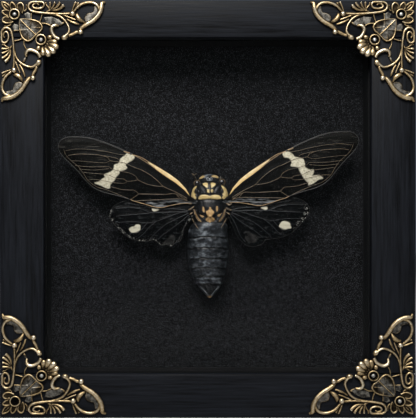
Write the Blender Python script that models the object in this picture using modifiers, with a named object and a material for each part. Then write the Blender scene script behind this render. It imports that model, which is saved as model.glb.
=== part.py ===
"""A cicada with spread wings, pinned in a small black wooden box frame with brass corner ornaments.

Metres, +Z up. The frame stands on its bottom edge at z = 0 and its front faces -Y.
"""

import math

import bmesh
import bpy
from mathutils import Matrix, Vector

# Frame, outside sizes
FRAME_WIDTH = 0.1664
FRAME_HEIGHT = 0.1668
FRAME_DEPTH = 0.0260
SIDE_FACE = 0.0176
TOP_FACE = 0.0148
BOTTOM_FACE = 0.0172
ARRIS = 0.0004

# Rabbet and what it holds, as depths behind the front face
LIP_DEPTH = 0.0050
RABBET_WIDTH = 0.0050
PANE_THICKNESS = 0.0015
BOARD_FRONT = 0.0212
BOARD_THICKNESS = 0.0015
PANEL_THICKNESS = 0.0029
SPACER_THICKNESS = 0.0020
SPACER_SHOWS = 0.0003
GAP = 0.0003
FINE_GAP = 0.00015

# Fixings on the back
BUTTON_LENGTH = 0.0150
BUTTON_WIDTH = 0.0060
FITTING_THICKNESS = 0.0010
HEAD_RISE = 0.0007
BUTTON_PIVOT_FROM_EDGE = 0.0088
BUTTON_HEIGHTS = {"lower": 0.048, "upper": 0.118}
HANGER_LENGTH = 0.0400
HANGER_WIDTH = 0.0072
HANGER_TEETH = 9
HANGER_TOOTH_DEPTH = 0.0018
HANGER_PLAIN_END = 0.0060
HANGER_NAIL_SPREAD = 0.0170
FIXING_HOLE_RADIUS = 0.0009
FIXING_SHANK_RADIUS = 0.0006
FIXING_LENGTH = 0.0080
SCREW_HEAD_RADIUS = 0.0021
HANGER_NAIL_HEAD_RADIUS = 0.0016

# Corner ornaments, measured from their own outer corner, which stands in from the frame's (side, end)
ORNAMENT_STANDS_IN = {"top": (0.0004, 0.0003), "bottom": (0.0008, 0.0011)}
PLATE_THICKNESS = 0.0010
RELIEF = 0.0010
FLOWER_INSET = 0.0056
FAN_INSET = 0.0160
RING_OUTER = 0.0023
RING_INNER = 0.0017
STILE_ARM_LENGTH = 0.964
STILE_ARM_SPREAD = 1.04
ARM_ANGLES = (35.0, 55.0)
NAIL_HOLE_RADIUS = 0.0005
NAIL_SHANK_RADIUS = 0.00033
NAIL_HEAD_RADIUS = 0.0010
NAIL_DEPTH = 0.0040

# Specimen
BODY_X = 0.0010
WING_ROOT_Z = 0.0851
BODY_DEPTH = 0.0136
BODY_FLATNESS = 0.65
BODY_STEPS = 12
FOREWING_DEPTH = 0.0112
HINDWING_DEPTH = 0.0124
WING_THICKNESS = 0.00035
WING_CAMBER = 0.0012
WING_TURN = math.radians(1.15)
COSTA_RADIUS = 0.00045
EYE_RADIUS = 0.0014
EYE_PLACE = (0.0051, -0.0006, 0.0093)
LEG_RADIUS = 0.0005
PIN_RADIUS = 0.0004
PIN_FOOT_RADIUS = 0.0028
PIN_FOOT_THICKNESS = 0.0008
PIN_ENTRY = 0.0034

# The front face lies so that the whole object, ornaments and hanger too, is centred on y = 0
FRONT_RISE = FINE_GAP + PLATE_THICKNESS + RELIEF
BACK_RISE = GAP + FITTING_THICKNESS + FINE_GAP + HEAD_RISE
FRONT_Y = (FRONT_RISE - FRAME_DEPTH - BACK_RISE) / 2
MM = 0.001

parts = bpy.data.collections.new("framed_cicada")
cutters = bpy.data.collections.new("cutters")


def clear_scene():
    for old in list(bpy.data.objects):
        bpy.data.objects.remove(old, do_unlink=True)
    bpy.context.scene.collection.children.link(parts)
    bpy.context.scene.collection.children.link(cutters)
    cutters.hide_render = True


def finish(name, colour, roughness, metallic=0.0, alpha=1.0):
    made = bpy.data.materials.new(name)
    made.use_nodes = True
    shader = made.node_tree.nodes["Principled BSDF"]
    shader.inputs["Base Color"].default_value = (*colour, 1.0)
    shader.inputs["Roughness"].default_value = roughness
    shader.inputs["Metallic"].default_value = metallic
    shader.inputs["Alpha"].default_value = alpha
    return made


def add_object(name, data, material=None, collection=parts):
    made = bpy.data.objects.new(name, data)
    collection.objects.link(made)
    if material:
        made.data.materials.append(material)
    return made


def as_cutter(obj):
    for owner in list(obj.users_collection):
        owner.objects.unlink(obj)
    cutters.objects.link(obj)
    obj.hide_render = True
    obj.display_type = "WIRE"
    return obj


def add_box(name, low, high, material=None):
    """A box between two corners, with its origin at its middle."""
    low, high = Vector(low), Vector(high)
    mesh = bpy.data.meshes.new(name)
    bm = bmesh.new()
    bmesh.ops.create_cube(bm, size=1.0)
    bmesh.ops.scale(bm, vec=high - low, verts=bm.verts)
    bm.to_mesh(mesh)
    bm.free()
    made = add_object(name, mesh, material)
    made.location = (low + high) / 2
    return made


def add_bevel(obj, width):
    bevel = obj.modifiers.new("arris", "BEVEL")
    bevel.width = width
    bevel.segments = 1
    bevel.limit_method = "ANGLE"


def add_boolean(obj, other, operation="DIFFERENCE"):
    boolean = obj.modifiers.new(other.name, "BOOLEAN")
    boolean.operation = operation
    boolean.solver = "EXACT"
    boolean.object = other


def turned(name, profile, steps, material=None):
    """A profile of (radius, height) points, top to bottom, turned about Z."""
    mesh = bpy.data.meshes.new(name)
    mesh.from_pydata([(r, 0.0, z) for r, z in profile], [(i, i + 1) for i in range(len(profile) - 1)], [])
    made = add_object(name, mesh, material)
    screw = made.modifiers.new("turn", "SCREW")
    screw.steps = steps
    screw.render_steps = steps
    screw.use_merge_vertices = True
    screw.merge_threshold = 0.00002
    return made


def flat_outline(name, loops, thickness, material=None):
    """Closed loops of (x, z) points, the first the rim and the rest holes, as a plate centred on y = 0."""
    curve = bpy.data.curves.new(name, "CURVE")
    curve.dimensions = "2D"
    curve.fill_mode = "BOTH"
    curve.extrude = thickness / 2
    for loop in loops:
        spline = curve.splines.new("POLY")
        spline.points.add(len(loop) - 1)
        spline.use_cyclic_u = True
        for point, (x, z) in zip(spline.points, loop):
            point.co = (x, z, 0.0, 1.0)
    made = add_object(name, curve, material)
    made.rotation_euler.x = math.radians(90)
    return made


def wire(name, points, radius, resolution=1, material=None):
    """A round wire through a list of 3D points, each with an optional thickness factor."""
    curve = bpy.data.curves.new(name, "CURVE")
    curve.dimensions = "3D"
    curve.bevel_depth = radius
    curve.bevel_resolution = resolution
    curve.use_fill_caps = True
    spline = curve.splines.new("POLY")
    spline.points.add(len(points) - 1)
    for point, (x, y, z, thick) in zip(spline.points, points):
        point.co = (x, y, z, 1.0)
        point.radius = thick
    return add_object(name, curve, material)


def made_mesh(obj, materials=()):
    """The object's evaluated shape as a mesh object in world space, in place of the object."""
    bpy.context.view_layer.update()
    graph = bpy.context.evaluated_depsgraph_get()
    mesh = bpy.data.meshes.new_from_object(obj.evaluated_get(graph))
    name, matrix = obj.name, obj.matrix_world.copy()
    bpy.data.objects.remove(obj, do_unlink=True)
    bm = bmesh.new()
    bm.from_mesh(mesh)
    bm.transform(matrix)
    bmesh.ops.remove_doubles(bm, verts=bm.verts, dist=0.000002)
    bmesh.ops.recalc_face_normals(bm, faces=bm.faces)
    bm.to_mesh(mesh)
    bm.free()
    mesh.name = name
    mesh.materials.clear()
    for material in materials:
        mesh.materials.append(material)
    made = bpy.data.objects.new(name, mesh)
    parts.objects.link(made)
    return made


def smooth(obj, angle=40):
    obj.data.shade_smooth()
    obj.data.set_sharp_from_angle(angle=math.radians(angle))


def depth_y(depth):
    """World y of a depth behind the front face."""
    return FRONT_Y + depth


def circle_loop(x, z, radius, count):
    turns = (2 * math.pi * i / count for i in range(count))
    return [(x + radius * math.cos(turn), z + radius * math.sin(turn)) for turn in turns]


def resampled(points, count):
    """A smooth curve through the points, as this many points at even steps along it."""
    ends = [points[0]] + list(points) + [points[-1]]
    dense = []
    for a, b, c, d in zip(ends, ends[1:], ends[2:], ends[3:]):
        for step in range(12):
            t = step / 12
            dense.append(
                tuple(
                    0.5 * (2 * q + (r - p) * t + (2 * p - 5 * q + 4 * r - s) * t * t + (3 * q - p - 3 * r + s) * t**3)
                    for p, q, r, s in zip(a, b, c, d)
                )
            )
    dense.append(tuple(points[-1]))
    lengths = [0.0]
    for a, b in zip(dense, dense[1:]):
        lengths.append(lengths[-1] + math.dist(a, b))
    even = []
    place = 0
    for index in range(count):
        wanted = lengths[-1] * index / (count - 1)
        while place < len(dense) - 2 and lengths[place + 1] < wanted:
            place += 1
        share = (wanted - lengths[place]) / (lengths[place + 1] - lengths[place])
        even.append(tuple(p + (q - p) * share for p, q in zip(dense[place], dense[place + 1])))
    return even


def hole_cutter(name, x, z, radius, front, back):
    """A round drill of eight sides along Y, between two depths."""
    mesh = bpy.data.meshes.new(name)
    bm = bmesh.new()
    bmesh.ops.create_cone(
        bm, cap_ends=True, segments=8, radius1=radius, radius2=radius, depth=back - front
    )
    bm.to_mesh(mesh)
    bm.free()
    drill = add_object(name, mesh)
    drill.rotation_euler.x = math.radians(90)
    drill.location = (x, depth_y((front + back) / 2), z)
    return as_cutter(drill)


def nail(name, x, z, head_depth, outward, head_radius, shank_radius, shank_length, material):
    """A domed nail along Y; outward is -1 for a nail in the front and +1 for one in the back."""
    profile = [
        (0.0, HEAD_RISE),
        (head_radius * 0.7, HEAD_RISE * 0.7),
        (head_radius, 0.0),
        (shank_radius, 0.0),
        (shank_radius, -shank_length),
        (0.0, -shank_length),
    ]
    made = turned(name, profile, 6, material)
    made.rotation_euler.x = math.radians(90) * -outward
    made.location = (x, depth_y(head_depth), z)
    return made


def build_frame(wood):
    """Rails the full width, stiles between them, one stopped rabbet behind the lip."""
    half = FRAME_WIDTH / 2
    back = depth_y(FRAME_DEPTH)
    front = depth_y(0.0)
    stile_low = BOTTOM_FACE + GAP
    stile_high = FRAME_HEIGHT - TOP_FACE - GAP
    members = {
        "rail_bottom": ((-half, 0.0), (half, BOTTOM_FACE)),
        "rail_top": ((-half, FRAME_HEIGHT - TOP_FACE), (half, FRAME_HEIGHT)),
        "stile_left": ((-half, stile_low), (-half + SIDE_FACE, stile_high)),
        "stile_right": ((half - SIDE_FACE, stile_low), (half, stile_high)),
    }
    pocket = add_box(
        "rabbet_cutter",
        (-half + SIDE_FACE - RABBET_WIDTH, depth_y(LIP_DEPTH), BOTTOM_FACE - RABBET_WIDTH),
        (half - SIDE_FACE + RABBET_WIDTH, back + FRAME_DEPTH, FRAME_HEIGHT - TOP_FACE + RABBET_WIDTH),
    )
    as_cutter(pocket)
    made = {}
    for name, (low, high) in members.items():
        piece = add_box(name, (low[0], front, low[1]), (high[0], back, high[1]), wood)
        add_bevel(piece, ARRIS)
        add_boolean(piece, pocket)
        made[name] = piece
    return made


def build_layers(materials):
    """The pane, spacer strips, board and back panel, one behind the other in the rabbet."""
    half = FRAME_WIDTH / 2
    reach_x = half - SIDE_FACE + RABBET_WIDTH - GAP
    low = BOTTOM_FACE - RABBET_WIDTH + GAP
    high = FRAME_HEIGHT - TOP_FACE + RABBET_WIDTH - GAP
    pane_front = LIP_DEPTH + GAP
    spacer_front = pane_front + PANE_THICKNESS + GAP
    panel_front = BOARD_FRONT + BOARD_THICKNESS + GAP
    sheets = (
        ("glass_pane", pane_front, PANE_THICKNESS),
        ("display_board", BOARD_FRONT, BOARD_THICKNESS),
        ("back_panel", panel_front, PANEL_THICKNESS),
    )
    for name, depth, thickness in sheets:
        add_box(
            name,
            (-reach_x, depth_y(depth), low),
            (reach_x, depth_y(depth + thickness), high),
            materials[name],
        )
    y0 = depth_y(spacer_front)
    y1 = depth_y(BOARD_FRONT - GAP)
    open_x = half - SIDE_FACE - SPACER_SHOWS
    open_low = BOTTOM_FACE + SPACER_SHOWS
    open_high = FRAME_HEIGHT - TOP_FACE - SPACER_SHOWS
    strips = {
        "spacer_left": ((-open_x - SPACER_THICKNESS, open_low), (-open_x, open_high)),
        "spacer_right": ((open_x, open_low), (open_x + SPACER_THICKNESS, open_high)),
        "spacer_bottom": ((-open_x, open_low - SPACER_THICKNESS), (open_x, open_low - FINE_GAP)),
        "spacer_top": ((-open_x, open_high + FINE_GAP), (open_x, open_high + SPACER_THICKNESS)),
    }
    for name, (start, end) in strips.items():
        add_box(name, (start[0], y0, start[1]), (end[0], y1, end[1]), materials["spacer"])


def build_back_fixings(frame, metal, screw_metal):
    """Four turn buttons over the panel's edge, and a sawtooth hanger on the top rail."""
    plate_y = depth_y(FRAME_DEPTH + GAP + FITTING_THICKNESS / 2)
    head_depth = FRAME_DEPTH + GAP + FITTING_THICKNESS + FINE_GAP
    hole = FIXING_HOLE_RADIUS
    shank = FIXING_SHANK_RADIUS
    drill_start = FRAME_DEPTH + GAP - FIXING_LENGTH
    drill_end = FRAME_DEPTH + GAP
    for side, sign in (("left", -1), ("right", 1)):
        for level, z in BUTTON_HEIGHTS.items():
            pivot = sign * (FRAME_WIDTH / 2 - BUTTON_PIVOT_FROM_EDGE)
            round_end = BUTTON_WIDTH / 2
            rim = []
            for middle, turn in ((0.0, -90), (BUTTON_LENGTH - BUTTON_WIDTH, 90)):
                for step in range(5):
                    angle = math.radians(turn - 45 * step)
                    rim.append((middle + round_end * math.cos(angle), round_end * math.sin(angle)))
            rim = [(-sign * x, y) for x, y in rim]
            name = f"turn_button_{side}_{level}"
            plate = flat_outline(name, [rim, circle_loop(0.0, 0.0, hole, 8)], FITTING_THICKNESS, metal)
            plate.location = (pivot, plate_y, z)
            nail(name + "_screw", pivot, z, head_depth, 1, SCREW_HEAD_RADIUS, shank, FIXING_LENGTH, screw_metal)
            drill = hole_cutter(f"{name}_hole", pivot, z, hole, drill_start, drill_end)
            add_boolean(frame[f"stile_{side}"], drill)
    middle_z = FRAME_HEIGHT - (TOP_FACE - RABBET_WIDTH) / 2
    half_length = HANGER_LENGTH / 2
    half_width = HANGER_WIDTH / 2
    rim = [(-half_length, -half_width), (-half_length, half_width)]
    rim += [(half_length, half_width), (half_length, -half_width)]
    start = half_length - HANGER_PLAIN_END
    pitch = 2 * start / HANGER_TEETH
    for tooth in range(HANGER_TEETH):
        rim.append((start - pitch * tooth, -half_width))
        rim.append((start - pitch * (tooth + 0.5), -half_width + HANGER_TOOTH_DEPTH))
    rim.append((-start, -half_width))
    holes = [circle_loop(sign * HANGER_NAIL_SPREAD, 0.0, hole, 8) for sign in (-1, 1)]
    hanger = flat_outline("sawtooth_hanger", [rim] + holes, FITTING_THICKNESS, metal)
    hanger.location = (0.0, plate_y, middle_z)
    for side, sign in (("left", -1), ("right", 1)):
        x = sign * HANGER_NAIL_SPREAD
        head = HANGER_NAIL_HEAD_RADIUS
        nail(f"hanger_nail_{side}", x, middle_z, head_depth, 1, head, shank, FIXING_LENGTH, screw_metal)
        drill = hole_cutter(f"hanger_hole_{side}", x, middle_z, hole, drill_start, drill_end)
        add_boolean(frame["rail_top"], drill)


def polar(centre, angle, reach):
    """A point of an ornament, in millimetres from the frame's corner; angle 0 runs along the top edge."""
    turn = math.radians(angle)
    return (centre + reach * math.cos(turn), centre + reach * math.sin(turn))


def ornament_rim():
    """Half of the ornament's rim in millimetres, from the fan on the diagonal to the corner petal."""
    fan, flower = FAN_INSET / MM, FLOWER_INSET / MM
    rim = []
    for away, reach, radius in ((0, 6.8, 1.1), (21.5, 6.8, 1.1), (40, 6.0, 0.9), (65, 4.2, 0.8)):
        spread = math.degrees(radius / reach) * 0.85
        if away:
            rim.append(polar(fan, 45 - away + spread * 1.25, reach - radius * 0.6))
            rim.append(polar(fan, 45 - away + spread, reach + radius * 0.3))
        rim.append(polar(fan, 45 - away, reach + radius))
        rim.append(polar(fan, 45 - away - spread, reach + radius * 0.3))
    rim += [(21.4, 14.4), (23.4, 15.5), (25.2, 15.4), (26.6, 14.2), (28.9, 13.5), (30.8, 12.9)]
    rim += [(31.6, 13.6), (32.9, 13.5), (33.5, 12.3), (33.7, 11.2), (37.2, 8.7), (39.8, 5.8), (41.1, 3.6)]
    rim += [(41.0, 1.8), (42.5, 0.3), (38.6, 0.3), (34.4, 0.8), (31.9, 2.3), (32.1, 0.3), (30.8, 0.3)]
    rim += [(28.8, 3.8), (27.6, 5.0), (23.6, 4.9), (25.8, 2.5), (25.4, 1.4), (23.9, 1.6), (23.2, 0.3)]
    rim += [(19.3, 0.3), (18.9, 2.6), (17.8, 3.4), (17.6, 1.2), (15.9, 0.3), (12.8, 0.3), (11.0, 1.7)]
    for away, tip in ((84, 6.2), (33, 5.4), (0, 7.5)):
        if away < 84:
            rim.append(polar(flower, -135 + away + 18, 3.3))
        rim.append(polar(flower, -135 + away + 13, tip - 1.2))
        if away:
            rim.append(polar(flower, -135 + away, tip))
            rim.append(polar(flower, -135 + away - 13, tip - 1.2))
    rim.append(polar(flower, -135, 7.5))
    return rim


def ornament_holes():
    """The openings of one half, in millimetres from the frame's corner."""
    flower_gap = [(9.7, 3.4), (10.8, 4.6), (11.9, 5.6), (11.8, 7.0), (9.5, 6.7), (8.6, 5.2)]
    lattice_gap = [(12.9, 6.0), (16.3, 6.2), (15.4, 8.0), (12.9, 7.0)]
    stem_gap = [(17.4, 6.4), (23.2, 6.7), (24.8, 8.0), (23.6, 9.2), (20.2, 9.5), (17.4, 8.5)]
    hook_gap = [(17.5, 10.2), (19.6, 10.9), (20.1, 12.6), (18.9, 13.5), (17.2, 12.7)]
    scroll = circle_loop(24.0, 12.1, 2.1, 7)
    stalk_gap = [(28.3, 9.4), (31.2, 10.5), (30.3, 11.7), (28.5, 12.2)]
    loop_gap = [(31.4, 4.6), (33.0, 2.7), (35.4, 1.8), (37.4, 2.5), (38.2, 4.2), (35.0, 5.4), (32.8, 6.6)]
    spiral_gap = [(12.6, 2.6), (14.0, 1.4), (16.2, 1.9), (16.0, 3.4), (13.8, 3.7)]
    return [flower_gap, lattice_gap, stem_gap, hook_gap, scroll, stalk_gap, loop_gap, spiral_gap]


def settled(u, v):
    """The cast piece's arm along the stile is a little shorter and wider than its arm along the rail."""
    start, end = ARM_ANGLES
    share = min(1.0, max(0.0, (math.degrees(math.atan2(v, u)) - start) / (end - start)))
    return (u * (1 + (STILE_ARM_SPREAD - 1) * share), v * (1 + (STILE_ARM_LENGTH - 1) * share))


def in_metres(loop):
    """Millimetres across and down from the corner, as metres across and up."""
    return [(u * MM, -v * MM) for u, v in loop]


def other_half(loop):
    """The same loop over the diagonal."""
    return [(v, u) for u, v in reversed(loop)]


def relief_ball(name, u, v, radius):
    """A round boss whose middle is on the plate's front and whose back stays inside the plate."""
    mesh = bpy.data.meshes.new(name)
    bm = bmesh.new()
    bmesh.ops.create_uvsphere(bm, u_segments=6, v_segments=3, radius=radius * MM)
    bmesh.ops.rotate(bm, verts=bm.verts, matrix=Matrix.Rotation(math.radians(90), 3, "X"))
    bmesh.ops.scale(bm, vec=(1.0, RELIEF * 0.93 / (radius * MM), 1.0), verts=bm.verts)
    bm.to_mesh(mesh)
    bm.free()
    ball = add_object(name, mesh)
    ball.location = (u * MM, -FINE_GAP - PLATE_THICKNESS, -v * MM)
    return ball


def build_ornament_mesh(brass):
    """One top-left ornament about the frame's outer corner, its back FINE_GAP off the face."""
    half = ornament_rim()
    rim = half[1:-1] + [half[-1]] + other_half(half[1:-1]) + [half[0]]
    holes = ornament_holes()
    holes += [other_half(loop) for loop in ornament_holes()]
    outlines = [[settled(u, v) for u, v in loop] for loop in [rim] + holes]
    centres = [settled(inset / MM, inset / MM) for inset in (FLOWER_INSET, FAN_INSET)]
    for u, v in centres:
        outlines.append(circle_loop(u, v, NAIL_HOLE_RADIUS / MM, 6))
    plate = flat_outline("plate", [in_metres(loop) for loop in outlines], PLATE_THICKNESS)
    plate.location.y = -FINE_GAP - PLATE_THICKNESS / 2
    plate = made_mesh(plate)
    reliefs = []
    for u, v in centres:
        rings = [circle_loop(u, v, r / MM, 10) for r in (RING_OUTER, RING_INNER)]
        ring = flat_outline(f"ring_{u:.0f}", [in_metres(loop) for loop in rings], RELIEF * 1.3)
        ring.location.y = -FRONT_RISE + RELIEF * 1.3 / 2
        reliefs.append(made_mesh(ring))
    fan = FAN_INSET / MM
    for away, reach, radius in ((0, 6.8, 0.95), (21.5, 6.8, 0.95), (-21.5, 6.8, 0.95)):
        u, v = settled(*polar(fan, 45 - away, reach))
        reliefs.append(relief_ball(f"lobe_{away:.0f}", u, v, radius))
    for u, v in ((32.3, 12.5), (29.0, 5.2), (12.5, 32.3), (5.2, 29.0)):
        reliefs.append(relief_ball(f"bead_{u:.0f}_{v:.0f}", *settled(u, v), 1.0))
    for relief in reliefs:
        as_cutter(relief)
        add_boolean(plate, relief, "UNION")
    plate = made_mesh(plate, [brass])
    mesh = plate.data
    bpy.data.objects.remove(plate)
    mesh.name = "corner_ornament"
    return mesh


def build_ornaments(frame, brass, steel):
    """The same cast ornament on each corner, turned over for the right and lower ones, with its nails."""
    mesh = build_ornament_mesh(brass)
    empty_hole = ("bottom", "left", "flower")
    for level, up in (("top", 1), ("bottom", -1)):
        side_in, end_in = ORNAMENT_STANDS_IN[level]
        for side, across in (("left", 1), ("right", -1)):
            corner_x = -across * (FRAME_WIDTH / 2 - side_in)
            corner_z = FRAME_HEIGHT - end_in if up > 0 else end_in
            ornament = bpy.data.objects.new(f"corner_ornament_{level}_{side}", mesh)
            parts.objects.link(ornament)
            ornament.location = (corner_x, FRONT_Y, corner_z)
            ornament.scale = (across, 1.0, up)
            for ring, inset in (("flower", FLOWER_INSET), ("fan", FAN_INSET)):
                u, v = settled(inset / MM, inset / MM)
                x = corner_x + across * u * MM
                z = corner_z - up * v * MM
                in_rail = v * MM + end_in < (TOP_FACE if up > 0 else BOTTOM_FACE)
                member = f"rail_{level}" if in_rail else f"stile_{side}"
                place = f"{level}_{side}_{ring}"
                drill = hole_cutter(f"hole_{place}", x, z, NAIL_HOLE_RADIUS, -GAP, NAIL_DEPTH + GAP)
                add_boolean(frame[member], drill)
                if (level, side, ring) == empty_hole:
                    continue
                head = -FINE_GAP - PLATE_THICKNESS - FINE_GAP
                reach = NAIL_DEPTH - head
                nail(f"nail_{place}", x, z, head, -1, NAIL_HEAD_RADIUS, NAIL_SHANK_RADIUS, reach, steel)


def body_profile(grow=0.0):
    """Half widths of the insect down its length, with the folds between its rings, as radius and height."""
    outline = [(2.4, 12.5), (4.2, 11.6), (5.5, 10.2), (5.9, 8.6), (5.5, 7.6)]
    outline += [(6.2, 6.2), (7.0, 4.6), (7.5, 3.2), (7.3, 2.3), (6.5, 1.8)]
    outline += [(6.8, 0.2), (7.0, -3.0), (6.7, -5.4), (6.7, -7.0), (7.7, -8.2)]
    rings = ((-12.8, 8.3), (-17.5, 8.5), (-21.8, 8.2), (-25.4, 7.6), (-28.9, 6.8), (-32.2, 5.7))
    for height, radius in rings:
        outline += [(radius, height), (radius - 0.35, height - 0.25)]
    outline += [(3.2, -35.4), (1.0, -37.7)]
    profile = [(r * MM + grow, z * MM) for r, z in outline]
    return [(0.0, 12.9 * MM + grow)] + profile + [(0.0, -38.1 * MM - grow)]


def body_form(name, grow=0.0, flatness=BODY_FLATNESS):
    """The body's turned and flattened form, in its place, as it is or grown all round."""
    form = turned(name, body_profile(grow), BODY_STEPS)
    form.location = (BODY_X, depth_y(BODY_DEPTH), WING_ROOT_Z)
    form.scale.y = flatness
    return form


def build_body(chitin):
    """Head, thorax and ringed abdomen turned as one form and flattened, with eyes and folded legs."""
    body = made_mesh(body_form("cicada_body"), [chitin])
    grown = []
    for side, sign in (("left", -1), ("right", 1)):
        mesh = bpy.data.meshes.new("eye")
        bm = bmesh.new()
        bmesh.ops.create_uvsphere(bm, u_segments=8, v_segments=6, radius=EYE_RADIUS)
        bm.to_mesh(mesh)
        bm.free()
        eye = add_object(f"eye_{side}", mesh)
        across, back, up = EYE_PLACE
        eye.location = (BODY_X + sign * across, depth_y(BODY_DEPTH + back), WING_ROOT_Z + up)
        grown.append(eye)
        fore_knee = (-6.9, 3.2, 13.2) if side == "left" else (4.6, 5.4, 11.8)
        x0 = sign * 2.6
        legs = {
            "fore": [(x0, 2.6, 4.5), (sign * 4.2, 5.2, 7.4), fore_knee, (sign * 4.4, 5.8, 8.8)],
            "middle": [(x0, 2.6, 1.0), (sign * 5.6, 5.2, -0.4), (sign * 8.4, 5.4, -4.2), (sign * 5.2, 6.4, -8.6)],
            "hind": [(x0, 2.6, -3.0), (sign * 5.4, 5.4, -5.8), (sign * 6.8, 5.8, -12.0), (sign * 3.6, 6.5, -18.5)],
        }
        for pair, route in legs.items():
            thick = (1.5, 1.2, 0.9, 0.6)
            points = [
                (BODY_X + x * MM, depth_y(BODY_DEPTH + back * MM), WING_ROOT_Z + z * MM, t)
                for (x, back, z), t in zip(route, thick)
            ]
            grown.append(made_mesh(wire(f"leg_{pair}_{side}", points, LEG_RADIUS)))
    for piece in grown:
        as_cutter(piece)
        add_boolean(body, piece, "UNION")
    socket = hole_cutter(
        "pin_socket", BODY_X, WING_ROOT_Z, PIN_RADIUS + GAP, pin_tip_depth() - GAP, BOARD_FRONT - 0.001
    )
    add_boolean(body, socket)
    smooth(body)
    return body


def pin_tip_depth():
    thorax_half = 0.0068 * BODY_FLATNESS
    return BODY_DEPTH + thorax_half - PIN_ENTRY


def build_pin(steel):
    """A short pin with a flat foot on the board, its point in the underside of the thorax."""
    foot = BOARD_FRONT - GAP
    length = foot - pin_tip_depth()
    profile = [
        (0.0, length),
        (PIN_RADIUS, length - 0.0008),
        (PIN_RADIUS, PIN_FOOT_THICKNESS),
        (PIN_FOOT_RADIUS, PIN_FOOT_THICKNESS),
        (PIN_FOOT_RADIUS, 0.0),
        (0.0, 0.0),
    ]
    pin = turned("specimen_pin", profile, 10, steel)
    pin.rotation_euler.x = math.radians(90)
    pin.location = (BODY_X, depth_y(foot), WING_ROOT_Z)
    return pin


def forewing_edges():
    """Leading and hind edge of the right forewing, in millimetres from the middle of its root."""
    leading = [(4.0, 3.0), (8.2, 4.2), (12.2, 8.8), (17.4, 14.4), (23.0, 17.2), (32.4, 22.0), (40.6, 26.2)]
    leading += [(48.8, 28.2), (55.4, 29.4), (59.2, 28.8), (61.6, 26.8)]
    hind = [(4.0, -1.0), (9.6, -0.2), (14.4, 1.2), (18.6, 0.2), (25.8, 0.6), (32.6, 2.9), (38.8, 4.2)]
    hind += [(43.6, 5.6), (47.2, 8.0), (53.6, 14.6), (58.6, 20.2), (61.6, 24.8)]
    return leading, hind


def hindwing_edges():
    leading = [(4.0, 0.5), (9.0, 1.6), (16.0, 3.4), (24.0, 4.4), (31.6, 3.6), (36.4, 2.2), (39.6, 0.6)]
    hind = [(4.0, -3.0), (8.8, -5.4), (10.8, -11.0), (12.8, -15.0), (16.2, -16.6), (20.4, -15.6)]
    hind += [(22.4, -14.4), (27.2, -14.2), (32.6, -12.4), (37.0, -8.8), (40.2, -5.2), (41.4, -2.0)]
    return leading, hind


def camber_at(across, along):
    """How far a wing bulges to the front, most in its middle and least at its root and edges."""
    return WING_CAMBER * math.sin(math.pi * across) * math.sin(math.pi * min(1.0, 0.15 + along * 0.75))


def build_wing(name, edges, depth, sign, stations, material):
    """A thin cambered plate lofted between its leading and hind edges."""
    leading, hind = (resampled(edge, stations) for edge in edges)
    strips = 3
    bm = bmesh.new()
    grid = []
    for station, (front, rear) in enumerate(zip(leading, hind)):
        along = station / (stations - 1)
        row = []
        for strip in range(strips + 1):
            across = strip / strips
            x = front[0] + (rear[0] - front[0]) * across
            z = front[1] + (rear[1] - front[1]) * across
            row.append(bm.verts.new((sign * x * MM, -camber_at(across, along), z * MM)))
        grid.append(row)
    for near, far in zip(grid, grid[1:]):
        for strip in range(strips):
            bm.faces.new((near[strip], far[strip], far[strip + 1], near[strip + 1]))
    bmesh.ops.recalc_face_normals(bm, faces=bm.faces)
    mesh = bpy.data.meshes.new(name)
    bm.to_mesh(mesh)
    bm.free()
    wing = add_object(name, mesh, material)
    solid = wing.modifiers.new("thickness", "SOLIDIFY")
    solid.thickness = WING_THICKNESS
    solid.offset = 0.0
    wing.rotation_euler.y = -WING_TURN
    wing.location = (BODY_X, depth_y(depth), WING_ROOT_Z)
    return wing


def build_wings(materials):
    """Forewings in front, hindwings tucked behind them; their roots are cut to the side of the body."""
    clearance = as_cutter(made_mesh(body_form("body_clearance", GAP, BODY_FLATNESS * 1.06)))
    for side, sign in (("left", -1), ("right", 1)):
        for pair, edges, depth, stations in (
            ("forewing", forewing_edges(), FOREWING_DEPTH, 16),
            ("hindwing", hindwing_edges(), HINDWING_DEPTH, 13),
        ):
            wing = build_wing(f"{pair}_{side}", edges, depth, sign, stations, materials[pair])
            if pair == "forewing":
                costa = [(sign * x * MM, 0.0, z * MM, 1.0) for x, z in resampled(edges[0], 10)]
                rib = wire(f"costa_{side}", costa, COSTA_RADIUS)
                rib.location = wing.location
                rib.rotation_euler = wing.rotation_euler
                rib = as_cutter(made_mesh(rib))
                add_boolean(wing, rib, "UNION")
            add_boolean(wing, clearance)


def main():
    clear_scene()
    wood = finish("black_painted_wood", (0.012, 0.013, 0.017), 0.45)
    brass = finish("antique_brass", (0.45, 0.31, 0.13), 0.38, 1.0)
    steel = finish("bright_steel", (0.62, 0.62, 0.60), 0.3, 1.0)
    zinc = finish("zinc_plated_steel", (0.55, 0.54, 0.5), 0.4, 1.0)
    chitin = finish("cicada_chitin", (0.016, 0.019, 0.024), 0.5)
    layers = {
        "glass_pane": finish("clear_glass", (0.9, 0.93, 0.93), 0.02, alpha=0.12),
        "display_board": finish("black_board", (0.006, 0.006, 0.007), 0.8),
        "back_panel": finish("fibreboard", (0.24, 0.15, 0.08), 0.8),
        "spacer": finish("black_strip", (0.004, 0.004, 0.005), 0.6),
    }
    wings = {
        "forewing": finish("forewing_membrane", (0.014, 0.016, 0.018), 0.35),
        "hindwing": finish("hindwing_membrane", (0.006, 0.008, 0.014), 0.35),
    }
    frame = build_frame(wood)
    build_layers(layers)
    build_back_fixings(frame, zinc, steel)
    build_ornaments(frame, brass, steel)
    build_body(chitin)
    build_wings(wings)
    build_pin(steel)


main()
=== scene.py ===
import math

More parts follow.
